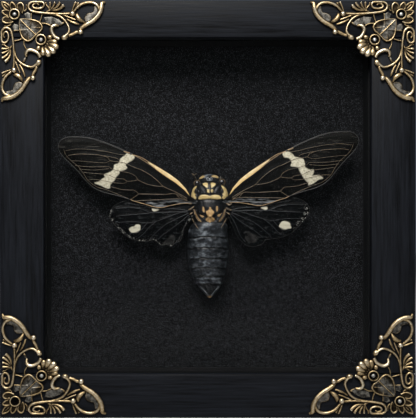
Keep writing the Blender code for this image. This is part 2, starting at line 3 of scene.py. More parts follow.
import bpy
import numpy as np
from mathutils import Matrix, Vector


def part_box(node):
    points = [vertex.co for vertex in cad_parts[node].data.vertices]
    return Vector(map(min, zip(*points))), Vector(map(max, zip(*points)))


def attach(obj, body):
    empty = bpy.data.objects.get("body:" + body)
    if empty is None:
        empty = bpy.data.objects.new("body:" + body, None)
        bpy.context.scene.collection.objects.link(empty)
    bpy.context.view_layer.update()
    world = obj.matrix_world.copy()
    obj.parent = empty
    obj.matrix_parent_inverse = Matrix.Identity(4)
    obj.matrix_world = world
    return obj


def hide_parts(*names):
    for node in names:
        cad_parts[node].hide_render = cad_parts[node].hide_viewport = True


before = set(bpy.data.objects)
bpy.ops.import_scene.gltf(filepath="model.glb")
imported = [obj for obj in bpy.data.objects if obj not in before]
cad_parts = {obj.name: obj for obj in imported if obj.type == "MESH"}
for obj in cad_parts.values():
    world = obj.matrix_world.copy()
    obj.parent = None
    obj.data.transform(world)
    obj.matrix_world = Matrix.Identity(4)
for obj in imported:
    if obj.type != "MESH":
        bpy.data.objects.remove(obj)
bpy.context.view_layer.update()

mm = 0.001        # the dictionaries below are in metres, the traced lines in millimetres
frameSize = {"width": 0.1664, "height": 0.1668, "depth": 0.026, "topRail": 0.0148}
halfWidth = frameSize["width"] / 2
frontY, backY = -frameSize["depth"] / 2, frameSize["depth"] / 2


def pickOnly(*pieces):
    bpy.ops.object.select_all(action="DESELECT")
    for piece in pieces:
        piece.select_set(True)
    bpy.context.view_layer.objects.active = pieces[0]


def applyPlace(piece):
    pickOnly(piece)
    bpy.ops.object.transform_apply(location=True, rotation=True, scale=True)
    return piece


def addModifier(piece, kind, **values):
    modifier = piece.modifiers.new(kind.lower(), kind)
    for key, value in values.items():
        setattr(modifier, key, value)
    pickOnly(piece)
    bpy.ops.object.modifier_apply(modifier=modifier.name)
    return piece


def joinAs(name, *pieces):
    pickOnly(*pieces)
    bpy.ops.object.join()
    piece = bpy.context.object
    piece.name = piece.data.name = name
    return applyPlace(piece)


def fixNormals(piece):
    pickOnly(piece)
    bpy.ops.object.mode_set(mode="EDIT")
    bpy.ops.mesh.select_all(action="SELECT")
    bpy.ops.mesh.remove_doubles(threshold=0.000001)
    bpy.ops.mesh.normals_make_consistent(inside=False)
    bpy.ops.object.mode_set(mode="OBJECT")
    return piece


def smoothShade(piece, angle=40):
    pickOnly(piece)
    bpy.ops.object.shade_smooth_by_angle(angle=math.radians(angle))
    return piece


def cutWith(piece, cutter):
    addModifier(piece, "BOOLEAN", object=cutter, operation="DIFFERENCE", solver="EXACT")
    bpy.data.objects.remove(cutter, do_unlink=True)
    return piece


def readPoints(piece):
    values = np.empty(len(piece.data.vertices) * 3, np.float32)
    piece.data.vertices.foreach_get("co", values)
    return values.reshape(-1, 3).astype(float)


def writePoints(piece, points):
    piece.data.vertices.foreach_set("co", np.asarray(points, np.float32).ravel())
    piece.data.update()
    return piece


def writeField(piece, name, values):
    field = piece.data.attributes.get(name) or piece.data.attributes.new(name, "FLOAT", "POINT")
    field.data.foreach_set("value", np.asarray(values, np.float32))


def paintAll(piece, *materials):
    piece.data.materials.clear()
    for material in materials:
        piece.data.materials.append(material)
    return piece


def keepPiece(piece, slot, *nodes):
    piece.data.name = piece.name
    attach(piece, "root")
    if nodes:
        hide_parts(*nodes)
    return piece


def copyOf(piece, name, across=1.0, up=1.0, moved=(0.0, 0.0, 0.0)):
    pickOnly(piece)
    bpy.ops.object.duplicate(linked=False)
    twin = bpy.context.object
    twin.name = twin.data.name = name
    twin.scale = (across, 1.0, up)
    twin.location = moved
    applyPlace(twin)
    return twin


def smoothStep(values, low, high):
    share = np.clip((np.asarray(values, float) - low) / (high - low), 0.0, 1.0)
    return share * share * (3.0 - 2.0 * share)


def smoothLine(points, count, closed=False):
    line = np.array(points, float)
    if closed:
        padded = np.vstack([line[-1], line, line[0], line[1]])
    else:
        padded = np.vstack([2 * line[0] - line[1], line, 2 * line[-1] - line[-2]])
    t = np.linspace(0, 1, 13)[:-1][:, None]
    rows = []
    for a, b, c, d in zip(padded, padded[1:], padded[2:], padded[3:]):
        rows.append(0.5 * (2 * b + (c - a) * t + (2 * a - 5 * b + 4 * c - d) * t**2 + (3 * b - a - 3 * c + d) * t**3))
    dense = np.vstack(rows + [line[:1] if closed else line[-1:]])
    steps = np.linalg.norm(np.diff(dense[:, :2], axis=0), axis=1)
    run = np.concatenate([[0.0], np.cumsum(steps)])
    even = np.linspace(0, run[-1], count)
    return np.column_stack([np.interp(even, run, dense[:, k]) for k in range(dense.shape[1])])


def distanceTo(points, line):
    best = np.full(len(points), 1e9)
    for start, end in zip(line[:-1], line[1:]):
        run = end - start
        share = np.clip(((points - start) @ run) / max(run @ run, 1e-12), 0, 1)
        best = np.minimum(best, np.linalg.norm(points - start - share[:, None] * run, axis=1))
    return best


def insideOf(points, loop):
    inside = np.zeros(len(points), bool)
    for (x0, y0), (x1, y1) in zip(loop[:-1], loop[1:]):
        if y0 == y1:
            continue
        crosses = (y0 > points[:, 1]) != (y1 > points[:, 1])
        at = x0 + (points[:, 1] - y0) * (x1 - x0) / (y1 - y0)
        inside ^= crosses & (points[:, 0] < at)
    return inside


def patchMask(points, loop, soft=0.15, smooth=True):
    edge = smoothLine(loop, len(loop) * 5 + 1, closed=True) if smooth else np.array(list(loop) + [loop[0]], float)
    away = distanceTo(points, edge)
    signed = np.where(insideOf(points, edge), away, -away)
    return smoothStep(signed, -soft, soft)


def makeTubes(name, tubes, sides=2):
    curve = bpy.data.curves.new(name, "CURVE")
    curve.dimensions = "3D"
    curve.bevel_depth = 1.0
    curve.bevel_resolution = sides
    curve.use_fill_caps = True
    for tube in tubes:        # rows of x, y, z and radius
        spline = curve.splines.new("POLY")
        spline.points.add(len(tube) - 1)
        for point, (x, y, z, radius) in zip(spline.points, tube):
            point.co = (x, y, z, 1.0)
            point.radius = radius
    piece = bpy.data.objects.new(name, curve)
    bpy.context.scene.collection.objects.link(piece)
    pickOnly(piece)
    bpy.ops.object.convert(target="MESH")
    return bpy.context.object


def addNode(tree, kind, inputs=None, **settings):
    node = tree.nodes.new(kind)
    for key, value in settings.items():
        setattr(node, key, value)
    for key, value in (inputs or {}).items():
        if isinstance(value, bpy.types.NodeSocket):
            tree.links.new(value, node.inputs[key])
        else:
            node.inputs[key].default_value = value
    return node


def startMaterial(name, **sockets):
    material = bpy.data.materials.new(name)
    material.use_nodes = True
    tree = material.node_tree
    shader = tree.nodes["Principled BSDF"]
    for key, value in sockets.items():
        shader.inputs[key.replace("_", " ")].default_value = value
    return material, tree, shader


def noiseOf(tree, scale, detail=3.0, stretch=(1.0, 1.0, 1.0), roughness=0.5, distortion=0.0):
    place = addNode(tree, "ShaderNodeTexCoord")
    turned = addNode(tree, "ShaderNodeMapping", {"Vector": place.outputs["Object"], "Scale": stretch})
    noise = addNode(tree, "ShaderNodeTexNoise", {
        "Vector": turned.outputs["Vector"], "Scale": scale, "Detail": detail,
        "Roughness": roughness, "Distortion": distortion})
    return noise.outputs["Fac"]


def rampOf(tree, value, stops):
    ramp = addNode(tree, "ShaderNodeValToRGB", {"Fac": value})
    marks = ramp.color_ramp.elements
    while len(marks) < len(stops):
        marks.new(0.5)
    for mark, (place, color) in zip(marks, stops):
        mark.position = place
        mark.color = (*color, 1.0)
    return ramp.outputs["Color"]


def rangeOf(tree, value, fromLow, fromHigh, toLow=0.0, toHigh=1.0):
    node = addNode(tree, "ShaderNodeMapRange", {
        "Value": value, "From Min": fromLow, "From Max": fromHigh, "To Min": toLow, "To Max": toHigh})
    return node.outputs["Result"]


def mathOf(tree, operation, first, second=0.0):
    node = addNode(tree, "ShaderNodeMath", {0: first, 1: second}, operation=operation)
    return node.outputs[0]


def mixOf(tree, share, first, second):
    node = addNode(tree, "ShaderNodeMix", {0: share}, data_type="RGBA")
    for index, value in ((6, first), (7, second)):
        if isinstance(value, bpy.types.NodeSocket):
            tree.links.new(value, node.inputs[index])
        else:
            node.inputs[index].default_value = (*value, 1.0)
    return node.outputs[2]


def fieldOf(tree, name):
    return addNode(tree, "ShaderNodeAttribute", attribute_name=name).outputs["Fac"]


def feed(tree, shader, socket, value):
    tree.links.new(value, shader.inputs[socket])


def useBump(tree, shader, height, strength, distance):
    bump = addNode(tree, "ShaderNodeBump", {"Height": height, "Strength": strength, "Distance": distance})
    tree.links.new(bump.outputs["Normal"], shader.inputs["Normal"])


woodSet = {
    "arris": 0.00042,
    "dark": (0.0010, 0.0012, 0.0017),
    "pale": (0.0082, 0.0099, 0.0138),
    "roughness": (0.42, 0.60),
    "pocketSide": 0.0126,      # rabbet, from the outer edge
    "pocketTop": 0.0098,
    "pocketBottom": 0.0122,
    "lip": 0.0050,
    "cutDepth": 0.05,          # the pocket's cutter runs out behind the frame
}


def makeWood(name, stretch):
    material, tree, shader = startMaterial(name, Roughness=0.45, Specular_IOR_Level=0.12)
    grain = noiseOf(tree, 1400, 4.0, stretch, 0.6)
    broad = noiseOf(tree, 240, 2.0, stretch, 0.5)
    pores = noiseOf(tree, 3600, 2.0, stretch, 0.6)
    tint = mathOf(tree, "ADD", mathOf(tree, "MULTIPLY", grain, 0.65), mathOf(tree, "MULTIPLY", broad, 0.35))
    feed(tree, shader, "Base Color", rampOf(tree, tint, [(0.35, woodSet["dark"]), (0.66, woodSet["pale"])]))
    feed(tree, shader, "Roughness", rangeOf(tree, tint, 0.35, 0.65, *woodSet["roughness"]))
    height = mathOf(tree, "ADD", grain, mathOf(tree, "MULTIPLY", pores, 0.5))
    useBump(tree, shader, height, 0.45, 0.00012)
    return material


railWood = makeWood("blackPaintRail", (0.045, 1.0, 1.0))
stileWood = makeWood("blackPaintStile", (1.0, 1.0, 0.045))


def makeMember(name, node, material):
    low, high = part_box(node)
    bpy.ops.mesh.primitive_cube_add(size=1, location=(low + high) / 2, scale=high - low)
    member = applyPlace(bpy.context.object)
    member.name = name
    addModifier(member, "BEVEL", width=woodSet["arris"], segments=3, limit_method="ANGLE")
    side, top, bottom = woodSet["pocketSide"], woodSet["pocketTop"], woodSet["pocketBottom"]
    size = Vector((frameSize["width"] - 2 * side, woodSet["cutDepth"], frameSize["height"] - top - bottom))
    middle = Vector((0.0, frontY + woodSet["lip"] + woodSet["cutDepth"] / 2,
        (bottom + frameSize["height"] - top) / 2))
    bpy.ops.mesh.primitive_cube_add(size=1, location=middle, scale=size)
    cutWith(member, applyPlace(bpy.context.object))
    smoothShade(fixNormals(member), 35)
    paintAll(member, material)
    return keepPiece(member, "frame_wood", node)


makeMember("frameRailTop", "rail_top", railWood)
makeMember("frameRailBottom", "rail_bottom", railWood)
makeMember("frameStileLeft", "stile_left", stileWood)
makeMember("frameStileRight", "stile_right", stileWood)
print("frame members made")


def paintNode(name, material):
    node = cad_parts[name]
    paintAll(node, material)
    return node


glass, tree, shader = startMaterial("clearPane", Base_Color=(0.01, 0.012, 0.012, 1), Roughness=0.03, IOR=1.5,
    Alpha=0.07)
smear = noiseOf(tree, 60, 2.0)
feed(tree, shader, "Roughness", rangeOf(tree, smear, 0.3, 0.7, 0.02, 0.05))
paintNode("glass_pane", glass)

strip, tree, shader = startMaterial("blackStrip", Roughness=0.75, Specular_IOR_Level=0.15)
fleck = noiseOf(tree, 2600, 3.0)
feed(tree, shader, "Base Color", rampOf(tree, fleck, [(0.35, (0.0015, 0.0016, 0.0018)),
    (0.7, (0.005, 0.005, 0.006))]))
useBump(tree, shader, fleck, 0.3, 0.00005)
for side in ("left", "right", "top", "bottom"):
    paintNode("spacer_" + side, strip)

boardSet = {"dark": (0.0012, 0.0012, 0.0015), "pale": (0.0490, 0.0510, 0.0570), "roughness": (0.58, 0.78)}
board, tree, shader = startMaterial("grainedBoard", Roughness=0.6, Specular_IOR_Level=0.08)
speckle = noiseOf(tree, 2300, 3.0, (1.0, 1.0, 0.8), 0.65)
weave = noiseOf(tree, 900, 2.0, (1.0, 1.0, 1.0), 0.5, 0.6)
clouds = noiseOf(tree, 22, 2.0)
tint = mathOf(tree, "ADD", mathOf(tree, "MULTIPLY", speckle, 0.72), mathOf(tree, "MULTIPLY", weave, 0.28))
feed(tree, shader, "Base Color", rampOf(tree, tint, [(0.44, boardSet["dark"]), (0.53, (0.0070, 0.0073, 0.0086)),
    (0.65, boardSet["pale"])]))
feed(tree, shader, "Roughness", rangeOf(tree, clouds, 0.3, 0.7, *boardSet["roughness"]))
useBump(tree, shader, tint, 0.7, 0.00025)
paintNode("display_board", board)

fibre, tree, shader = startMaterial("fibreboard", Roughness=0.8)
mottle = noiseOf(tree, 900, 5.0, roughness=0.7)
mesh = addNode(tree, "ShaderNodeTexVoronoi", {"Vector": addNode(tree, "ShaderNodeTexCoord").outputs["Object"],
    "Scale": 900.0}).outputs["Distance"]
feed(tree, shader, "Base Color", rampOf(tree, mottle, [(0.3, (0.13, 0.075, 0.036)), (0.55, (0.22, 0.135, 0.068)),
    (0.75, (0.32, 0.21, 0.115))]))
useBump(tree, shader, mathOf(tree, "ADD", mottle, mathOf(tree, "MULTIPLY", mesh, 0.5)), 0.5, 0.0002)
paintNode("back_panel", fibre)
print("pane, strips, board and panel painted")


def makeMetal(name, dark, pale, roughness, scratch=(1.0, 1.0, 1.0)):
    material, tree, shader = startMaterial(name, Metallic=1.0, Roughness=roughness[0])
    stain = noiseOf(tree, 420, 4.0, roughness=0.6)
    fine = noiseOf(tree, 5200, 2.0, scratch)
    feed(tree, shader, "Base Color", rampOf(tree, stain, [(0.3, dark), (0.7, pale)]))
    feed(tree, shader, "Roughness", rangeOf(tree, stain, 0.3, 0.7, *reversed(roughness)))
    useBump(tree, shader, fine, 0.15, 0.00004)
    return material


zinc = makeMetal("zincPlate", (0.42, 0.41, 0.38), (0.62, 0.61, 0.57), (0.32, 0.5), (1.0, 1.0, 0.08))
steel = makeMetal("brightSteel", (0.50, 0.50, 0.49), (0.74, 0.74, 0.72), (0.2, 0.36))
nailTone = makeMetal("nailTone", (0.34, 0.33, 0.31), (0.82, 0.80, 0.75), (0.42, 0.62))

fittingSet = {"gap": 0.0003, "thickness": 0.001, "headGap": 0.00015, "hole": 0.0009}
buttonSet = {
    "length": 0.015,
    "width": 0.006,
    "edge": 0.00022,
    "pivot": 0.0088,           # from the outer edge
    "ridges": (0.0058, 0.0072, 0.0086),
    "heights": {"lower": 0.048, "upper": 0.118},
}
screwSet = {"head": 0.0021, "rise": 0.0007, "shank": 0.0006, "length": 0.008, "slot": (0.0024, 0.00045),
    "slotDepth": 0.0005}
plateY = backY + fittingSet["gap"] + fittingSet["thickness"] / 2
headY = backY + fittingSet["gap"] + fittingSet["thickness"] + fittingSet["headGap"]


def makeHead(name, radius, rise, shank, length):
    bpy.ops.mesh.primitive_uv_sphere_add(segments=32, ring_count=24, radius=1.0)
    head = bpy.context.object
    head.name = name
    bpy.ops.object.mode_set(mode="EDIT")
    bpy.ops.mesh.bisect(plane_co=(0, 0, 0), plane_no=(0, 0, 1), use_fill=True, clear_inner=True)
    bpy.ops.object.mode_set(mode="OBJECT")
    head.scale = (radius, radius, rise)
    applyPlace(head)
    bpy.ops.mesh.primitive_cylinder_add(vertices=16, radius=shank, depth=length + 0.0001,
        location=(0, 0, 0.00005 - length / 2))
    return joinAs(name, head, bpy.context.object)


def setOnBack(piece, place, tone, slot, node, turn=-math.pi / 2):
    piece.rotation_euler.x = turn
    piece.location = place
    applyPlace(piece)
    paintAll(smoothShade(fixNormals(piece), 30), tone)
    return keepPiece(piece, slot, node)


def makeButton(name, node, sign, z):
    width, length, thickness = buttonSet["width"], buttonSet["length"], fittingSet["thickness"]
    pivot = sign * (halfWidth - buttonSet["pivot"])
    bpy.ops.mesh.primitive_cylinder_add(vertices=48, radius=width / 2, depth=thickness, location=(0, 0, 0))
    plate = bpy.context.object
    points = readPoints(plate)
    points[points[:, 0] * -sign > 0.00001, 0] += -sign * (length - width)
    writePoints(plate, points)
    addModifier(plate, "BEVEL", width=buttonSet["edge"], segments=3, limit_method="ANGLE")
    bpy.ops.mesh.primitive_cylinder_add(vertices=24, radius=fittingSet["hole"], depth=0.01, location=(0, 0, 0))
    cutWith(plate, bpy.context.object)
    for place in buttonSet["ridges"]:        # pressed finger ridges
        bpy.ops.mesh.primitive_cylinder_add(vertices=16, radius=0.0003, depth=0.0044,
            location=(-sign * place, 0, 0.00062), rotation=(math.pi / 2, 0, 0))
        cutWith(plate, bpy.context.object)
    plate.name = name
    setOnBack(plate, (pivot, plateY, z), zinc, "zinc_plate", node)
    screw = makeHead(name + "Screw", screwSet["head"], screwSet["rise"], screwSet["shank"], screwSet["length"])
    for turn in (0.35, 0.35 + math.pi / 2):
        bpy.ops.mesh.primitive_cube_add(size=1, location=(0, 0, screwSet["rise"]), rotation=(0, 0, turn),
            scale=(screwSet["slot"][0], screwSet["slot"][1], screwSet["slotDepth"] * 2))
        cutWith(screw, applyPlace(bpy.context.object))
    setOnBack(screw, (pivot, headY, z), steel, "bright_steel", node + "_screw")


for side, sign in (("Left", -1), ("Right", 1)):
    for level, z in buttonSet["heights"].items():
        makeButton(f"turnButton{side}{level.title()}", f"turn_button_{side.lower()}_{level}", sign, z)

hangerSet = {
    "length": 0.040,
    "width": 0.0072,
    "teeth": 9,
    "toothDepth": 0.0018,
    "plainEnd": 0.006,
    "nails": 0.017,            # from the middle
    "nailHead": (0.0016, 0.0007, 0.0006, 0.008),
    "edge": 0.00015,
}
hangerZ = frameSize["height"] - (frameSize["topRail"] - woodSet["lip"]) / 2
bpy.ops.mesh.primitive_cube_add(size=1, scale=(hangerSet["length"], fittingSet["thickness"], hangerSet["width"]))
hanger = applyPlace(bpy.context.object)
hanger.name = "sawtoothHanger"
pitch = (hangerSet["length"] - 2 * hangerSet["plainEnd"]) / hangerSet["teeth"]
for tooth in range(hangerSet["teeth"]):
    x = (tooth - (hangerSet["teeth"] - 1) / 2) * pitch
    bpy.ops.mesh.primitive_cylinder_add(vertices=3, radius=1, depth=0.01, rotation=(math.pi / 2, 0, 0))
    notch = applyPlace(bpy.context.object)
    points = readPoints(notch)
    top = points[:, 2] > points[:, 2].mean() + 0.2
    points[:, 2] = np.where(top, -hangerSet["width"] / 2 + hangerSet["toothDepth"], -hangerSet["width"] / 2 - 0.0001)
    points[:, 0] = np.where(top, x, x + np.sign(points[:, 0]) * pitch * 0.5)
    cutWith(hanger, writePoints(notch, points))
for x in (-hangerSet["nails"], hangerSet["nails"]):
    bpy.ops.mesh.primitive_cylinder_add(
        vertices=24, radius=fittingSet["hole"], depth=0.01, location=(x, 0, 0), rotation=(math.pi / 2, 0, 0))
    cutWith(hanger, applyPlace(bpy.context.object))
addModifier(hanger, "BEVEL", width=hangerSet["edge"], segments=2, limit_method="ANGLE")
setOnBack(hanger, (0, plateY, hangerZ), zinc, "zinc_plate", "sawtooth_hanger", turn=0.0)
for side, sign in (("Left", -1), ("Right", 1)):
    nail = makeHead("hangerNail" + side, *hangerSet["nailHead"])
    setOnBack(nail, (sign * hangerSet["nails"], headY, hangerZ), steel, "bright_steel", "hanger_nail_" + side.lower())
print("fixings on the back made")


# Across and down from the frame's outer corner and the half width, all in millimetres.
# The number before each strand's points stretches it off the frame.

ornamentSet = {
    "voxel": 0.00013,
    "smooth": 2,
    "faces": 46000,
    "lift": 0.00015,      # gap behind the casting
    "rise": 0.00195,
    "armLength": 0.964,
    "armSpread": 1.04,
    "flower": 5.6,
    "fan": 16.0,
    "thicker": 1.32,
    "shrink": 0.9956,     # the casting stands nearer the camera than the traced face
    "standIn": {"TopLeft": (0.00052, 0.00032), "TopRight": (0.0003, 0.00032), "BottomLeft": (0.00078, 0.00115),
        "BottomRight": (0.00084, 0.00115)},
    "lowArmSpread": 0.07,      # the lower castings are wider along the bottom rail
    "nail": (0.00078, 0.0006, 0.00033, 0.0053),
    "nailOut": 0.0013,
    "emptyHole": "bottom_left_flower",
}

strands = {
    "scrollStem": (1.75, [(15.46, 1.69, .26), (14.71, 1.17, .29), (13.57, 1.29, .31), (12.89, 2.09, .34),
        (13.57, 2.89, .34), (15.37, 3.11, .34), (16.89, 2.6, .34), (17.51, 1.57, .37), (16.94, .66, .37),
        (14.94, .37, .37), (12.66, .54, .37), (11.34, 1.57, .4), (11.4, 3, .4), (12.66, 4.14, .4), (15.8, 4.77, .4),
        (19.8, 5.09, .37), (24.09, 5.23, .34), (28.09, 5.11, .34)]),
    "loopArm": (1.75, [(16.94, 4.94, .26), (20.09, 5.34, .29), (22.94, 5.91, .34), (25.09, 7.14, .37),
        (26.66, 9.09, .37), (27.51, 11.09, .4), (27.46, 12.51, .43), (26.51, 13.8, .46), (25.06, 14.66, .49)]),
    "hook": (1.5, [(23.4, 10.03, .36), (22.09, 9.86, .52), (21, 10.31, .6), (20.49, 11.51, .62), (20.89, 13.09, .6),
        (21.94, 14.54, .58), (23.66, 15.4, .54)]),
    "bead": (1.0, [(24.71, 15.17, .55), (25.66, 14.77, .85), (26.8, 14.14, .6)]),
    "link": (1.2, [(27.37, 13.94, .5), (28.94, 13.46, .52), (30.09, 12.8, .54), (31.37, 12.37, .54)]),
    "rimOuter": (1.1, [(42.03, .43, .34), (40.71, 1.06, .63), (40.49, 2.66, .77), (39.97, 4.51, .77),
        (38.66, 6.51, .77), (36.66, 8.31, .74), (34.37, 9.66, .71), (32.66, 10.8, .63), (31.51, 11.94, .49)]),
    "rimInner": (1.5, [(29.51, 4.14, .37), (30.8, 2.71, .43), (32.37, 1.51, .46), (34.37, .83, .46),
        (36.37, .71, .46), (38.23, 1.34, .49), (39.31, 2.66, .49), (39.46, 4.09, .43), (38.71, 5.51, .31)]),
    "tipLeft": (1.7, [(28.71, 4.31, .26), (29.17, 2.66, .29), (29.86, 1.09, .31), (30.2, .37, .31)]),
    "tipRight": (1.6, [(29.51, 3.8, .23), (30.49, 2.14, .26), (31.34, .71, .29)]),
    "stalkUpper": (1.8, [(24.6, 5.46, .23), (26.37, 6.14, .26), (28.37, 6.94, .26), (30.14, 7.57, .23)]),
    "stalkLower": (1.3, [(26.51, 7.29, .23), (27.94, 8.14, .34), (29.8, 8.94, .4), (31.57, 9.46, .26)]),
    "crescent": (1.0, [(30.89, 4.83, .31), (30.77, 5.94, .6), (31.46, 7.17, .71), (32.66, 8.09, .54),
        (33.8, 8.6, .29)]),
    "leafEdge": (1.8, [(37.69, 2.2, .17), (37.57, 3.8, .2), (37, 4.83, .2), (35.34, 5.11, .2), (34.26, 5.86, .2),
        (33.8, 7.17, .2)]),
    "finger0": (1.8, [(19.51, 3.8, .23), (19.11, 2.51, .23), (18.37, 1.51, .23), (18.14, .49, .23)]),
    "finger1": (1.7, [(19.51, 3.86, .26), (19.91, 2.43, .31), (19.97, 1.09, .37), (19.91, .43, .37)]),
    "finger2": (1.6, [(19.91, 3.86, .26), (21, 2.49, .31), (21.63, 1.17, .37), (21.8, .43, .4)]),
    "finger3": (1.5, [(20.26, 3.86, .26), (22.09, 2.83, .34), (23.34, 1.57, .43), (23.91, .6, .46)]),
    "finger4": (1.4, [(19.8, 3.91, .26), (22.6, 3.69, .37), (24.31, 2.83, .49), (25.34, 1.74, .57)]),
    "fingerFoot": (1.7, [(18.09, 4.83, .26), (18.77, 4.31, .26), (19.8, 3.86, .29)]),
    "stemLink": (1.8, [(24.6, 5.11, .2), (26.37, 4.77, .23), (28.14, 4.77, .23)]),
    "petalA": (1.7, [(6.94, 3.4, .26), (6.74, 1.97, .29), (7.29, 1.06, .31), (8.31, .83, .31), (9.11, 1.8, .31),
        (9.23, 3.37, .29), (8.54, 5, .26)]),
    "petalB": (1.7, [(4.6, 3.97, .26), (4.03, 2.94, .26), (3.94, 1.57, .29), (4.49, .66, .31), (5.63, 1.51, .29),
        (6.37, 3, .26)]),
    "smallLink": (1.7, [(10.43, 1.46, .23), (10.54, 2.51, .26), (10.2, 3.51, .23), (9.51, 4.09, .23)]),
    "heartSide": (1.7, [(7.57, 7.57, .26), (9.8, 7.34, .26), (12.37, 7.57, .29), (14.66, 8.2, .31),
        (16.03, 9.17, .34), (16.71, 10.6, .34), (16.09, 11.94, .34), (14.94, 13, .34), (13.86, 14.09, .34)]),
    "heartVein1": (1.9, [(12.29, 7.57, .23), (12.11, 9.23, .23), (12.03, 10.66, .23)]),
    "heartVein2": (1.9, [(12.03, 10.77, .23), (14.09, 10.8, .23), (16.37, 10.77, .23)]),
    "lattice1": (1.9, [(12.43, 5.06, .23), (12.31, 6.37, .23), (12.26, 7.69, .23)]),
    "lattice2": (1.9, [(16.71, 5.23, .23), (16.31, 6.89, .23), (15.74, 8.54, .23)]),
    "hookLink": (1.9, [(16.49, 9.06, .23), (18.09, 9.09, .23), (19.51, 9.66, .23), (20.43, 10.26, .23)]),
    "paleLeaf": (0.9, [(23.29, 9.91, .23), (24.09, 9.4, .4), (25.06, 8.89, .4), (25.86, 8.37, .23)]),
}
middleStrands = {
    "petalC": (1.6, [(3.51, 4.31, .26), (1.97, 3.51, .29), (.94, 2.26, .31), (.54, .77, .34), (.77, .54, .34),
        (2.26, .94, .31), (3.51, 1.97, .29), (4.31, 3.51, .26)]),
    "petalVein": (1.9, [(1.06, 1.06, .2), (2.09, 2.09, .23), (3.17, 3.17, .2)]),
    "midrib": (1.8, [(7.91, 7.91, .29), (10.66, 10.66, .31), (13.86, 13.86, .31)]),
}


def outlineOf(strand):
    return [(u, v) for u, v, radius in strand[1]]


floors = {
    "petalA": outlineOf(strands["petalA"]) + [(7.51, 4.09)],
    "petalB": outlineOf(strands["petalB"]) + [(5.51, 3.8)],
    "endLeaf": outlineOf(strands["leafEdge"]) + [(34.09, 8.37), (36.66, 8.09), (38.94, 6.09), (39.8, 3.51),
        (38.94, 2.09)],
    "rimWeb": [(37.8, .94), (39.34, 2.66), (39.46, 4.09), (38.71, 5.51), (39.8, 5.23), (40.66, 2.66), (40.94, .94)],
    "sideLeaf": [(17.4, 6.6), (20.6, 6.3), (23.6, 7.6), (25.0, 9.0), (23.4, 10.0), (21.6, 9.3), (20.0, 9.4),
        (18.0, 8.6)],
    "latticeLeaf": [(9.4, 5.2), (10.8, 4.5), (12.2, 5.1), (12.2, 6.4), (12.3, 7.6), (10.2, 7.2)],
    "tipWeb": [(28.71, 4.31), (29.17, 2.66), (29.86, 1.09), (30.2, .49), (31.34, .6), (30.49, 2.14), (29.51, 3.8)],
}
heartSide = outlineOf(strands["heartSide"])
middleFloors = {
    "heart": heartSide + [(v, u) for u, v in heartSide[:0:-1]],
    "petalC": [(3.8, 4.31)] + outlineOf(middleStrands["petalC"])[1:-1] + [(4.31, 3.8)],
}
floorHeights = {"heart": 0.62, "endLeaf": 0.8, "petalA": 0.6, "petalB": 0.6, "petalC": 0.6, "rimWeb": 0.7,
    "tipWeb": 0.6, "sideLeaf": 0.5, "latticeLeaf": 0.5}


def settled(u, v):        # the arm along the stile is a little shorter and wider
    share = min(1.0, max(0.0, (math.degrees(math.atan2(v, u)) - 35.0) / 20.0))
    return u * (1 + (ornamentSet["armSpread"] - 1) * share), v * (1 + (ornamentSet["armLength"] - 1) * share)


def ornamentTube(rows, tall, swap):
    line = smoothLine(rows, max(8, len(rows) * 7))
    tube = []
    for u, v, radius in line:
        u, v = settled(*((v, u) if swap else (u, v)))
        radius *= ornamentSet["thicker"]
        u, v = max(u, radius), max(v, radius)
        tube.append((u, 0.62 * radius, v, radius, tall / ornamentSet["thicker"]))
    return tube


def makeStrandTubes():
    tubes = []
    for tall, rows in strands.values():
        tubes += [ornamentTube(rows, tall, swap) for swap in (False, True)]
    for tall, rows in middleStrands.values():
        tubes.append(ornamentTube(rows, tall, False))
    fan = ornamentSet["fan"]
    for away, reach, bulb in ((0, 6.8, 1.1), (21.5, 6.8, 1.1), (-21.5, 6.8, 1.1), (40, 6.0, .9), (-40, 6.0, .9),
            (65, 4.2, .8), (-65, 4.2, .8)):
        turn = math.radians(45 + away)
        rows = []
        for share, radius in ((0.3, .3), (0.48, .38), (0.62, .56 * bulb), (0.78, .78 * bulb), (0.92, .9 * bulb),
                (1.02, bulb * .82), (1.1, bulb * .45)):
            at = share * reach
            rows.append((fan + at * math.cos(turn), fan + at * math.sin(turn), radius))
        tubes.append(ornamentTube(rows, 0.95, False))
    for away in (-54, -31, -11, 11, 31, 54):
        turn = math.radians(45 + away)
        rows = [(fan + at * math.cos(turn), fan + at * math.sin(turn), .2) for at in (2.4, 3.3, 4.3)]
        tubes.append(ornamentTube(rows, 2.0, False))
    return tubes


def makePlate(name, loop, swap):
    curve = bpy.data.curves.new(name, "CURVE")
    curve.dimensions = "2D"
    curve.fill_mode = "BOTH"
    curve.extrude = floorHeights[name] / 2
    spline = curve.splines.new("POLY")
    spline.points.add(len(loop) - 1)
    spline.use_cyclic_u = True
    for point, (u, v) in zip(spline.points, loop):
        u, v = settled(*((v, u) if swap else (u, v)))
        point.co = (u, v, 0, 1)
    plate = bpy.data.objects.new(name, curve)
    bpy.context.scene.collection.objects.link(plate)
    plate.rotation_euler.x = math.pi / 2
    plate.location.y = floorHeights[name] / 2
    pickOnly(plate)
    bpy.ops.object.convert(target="MESH")
    return fixNormals(applyPlace(bpy.context.object))


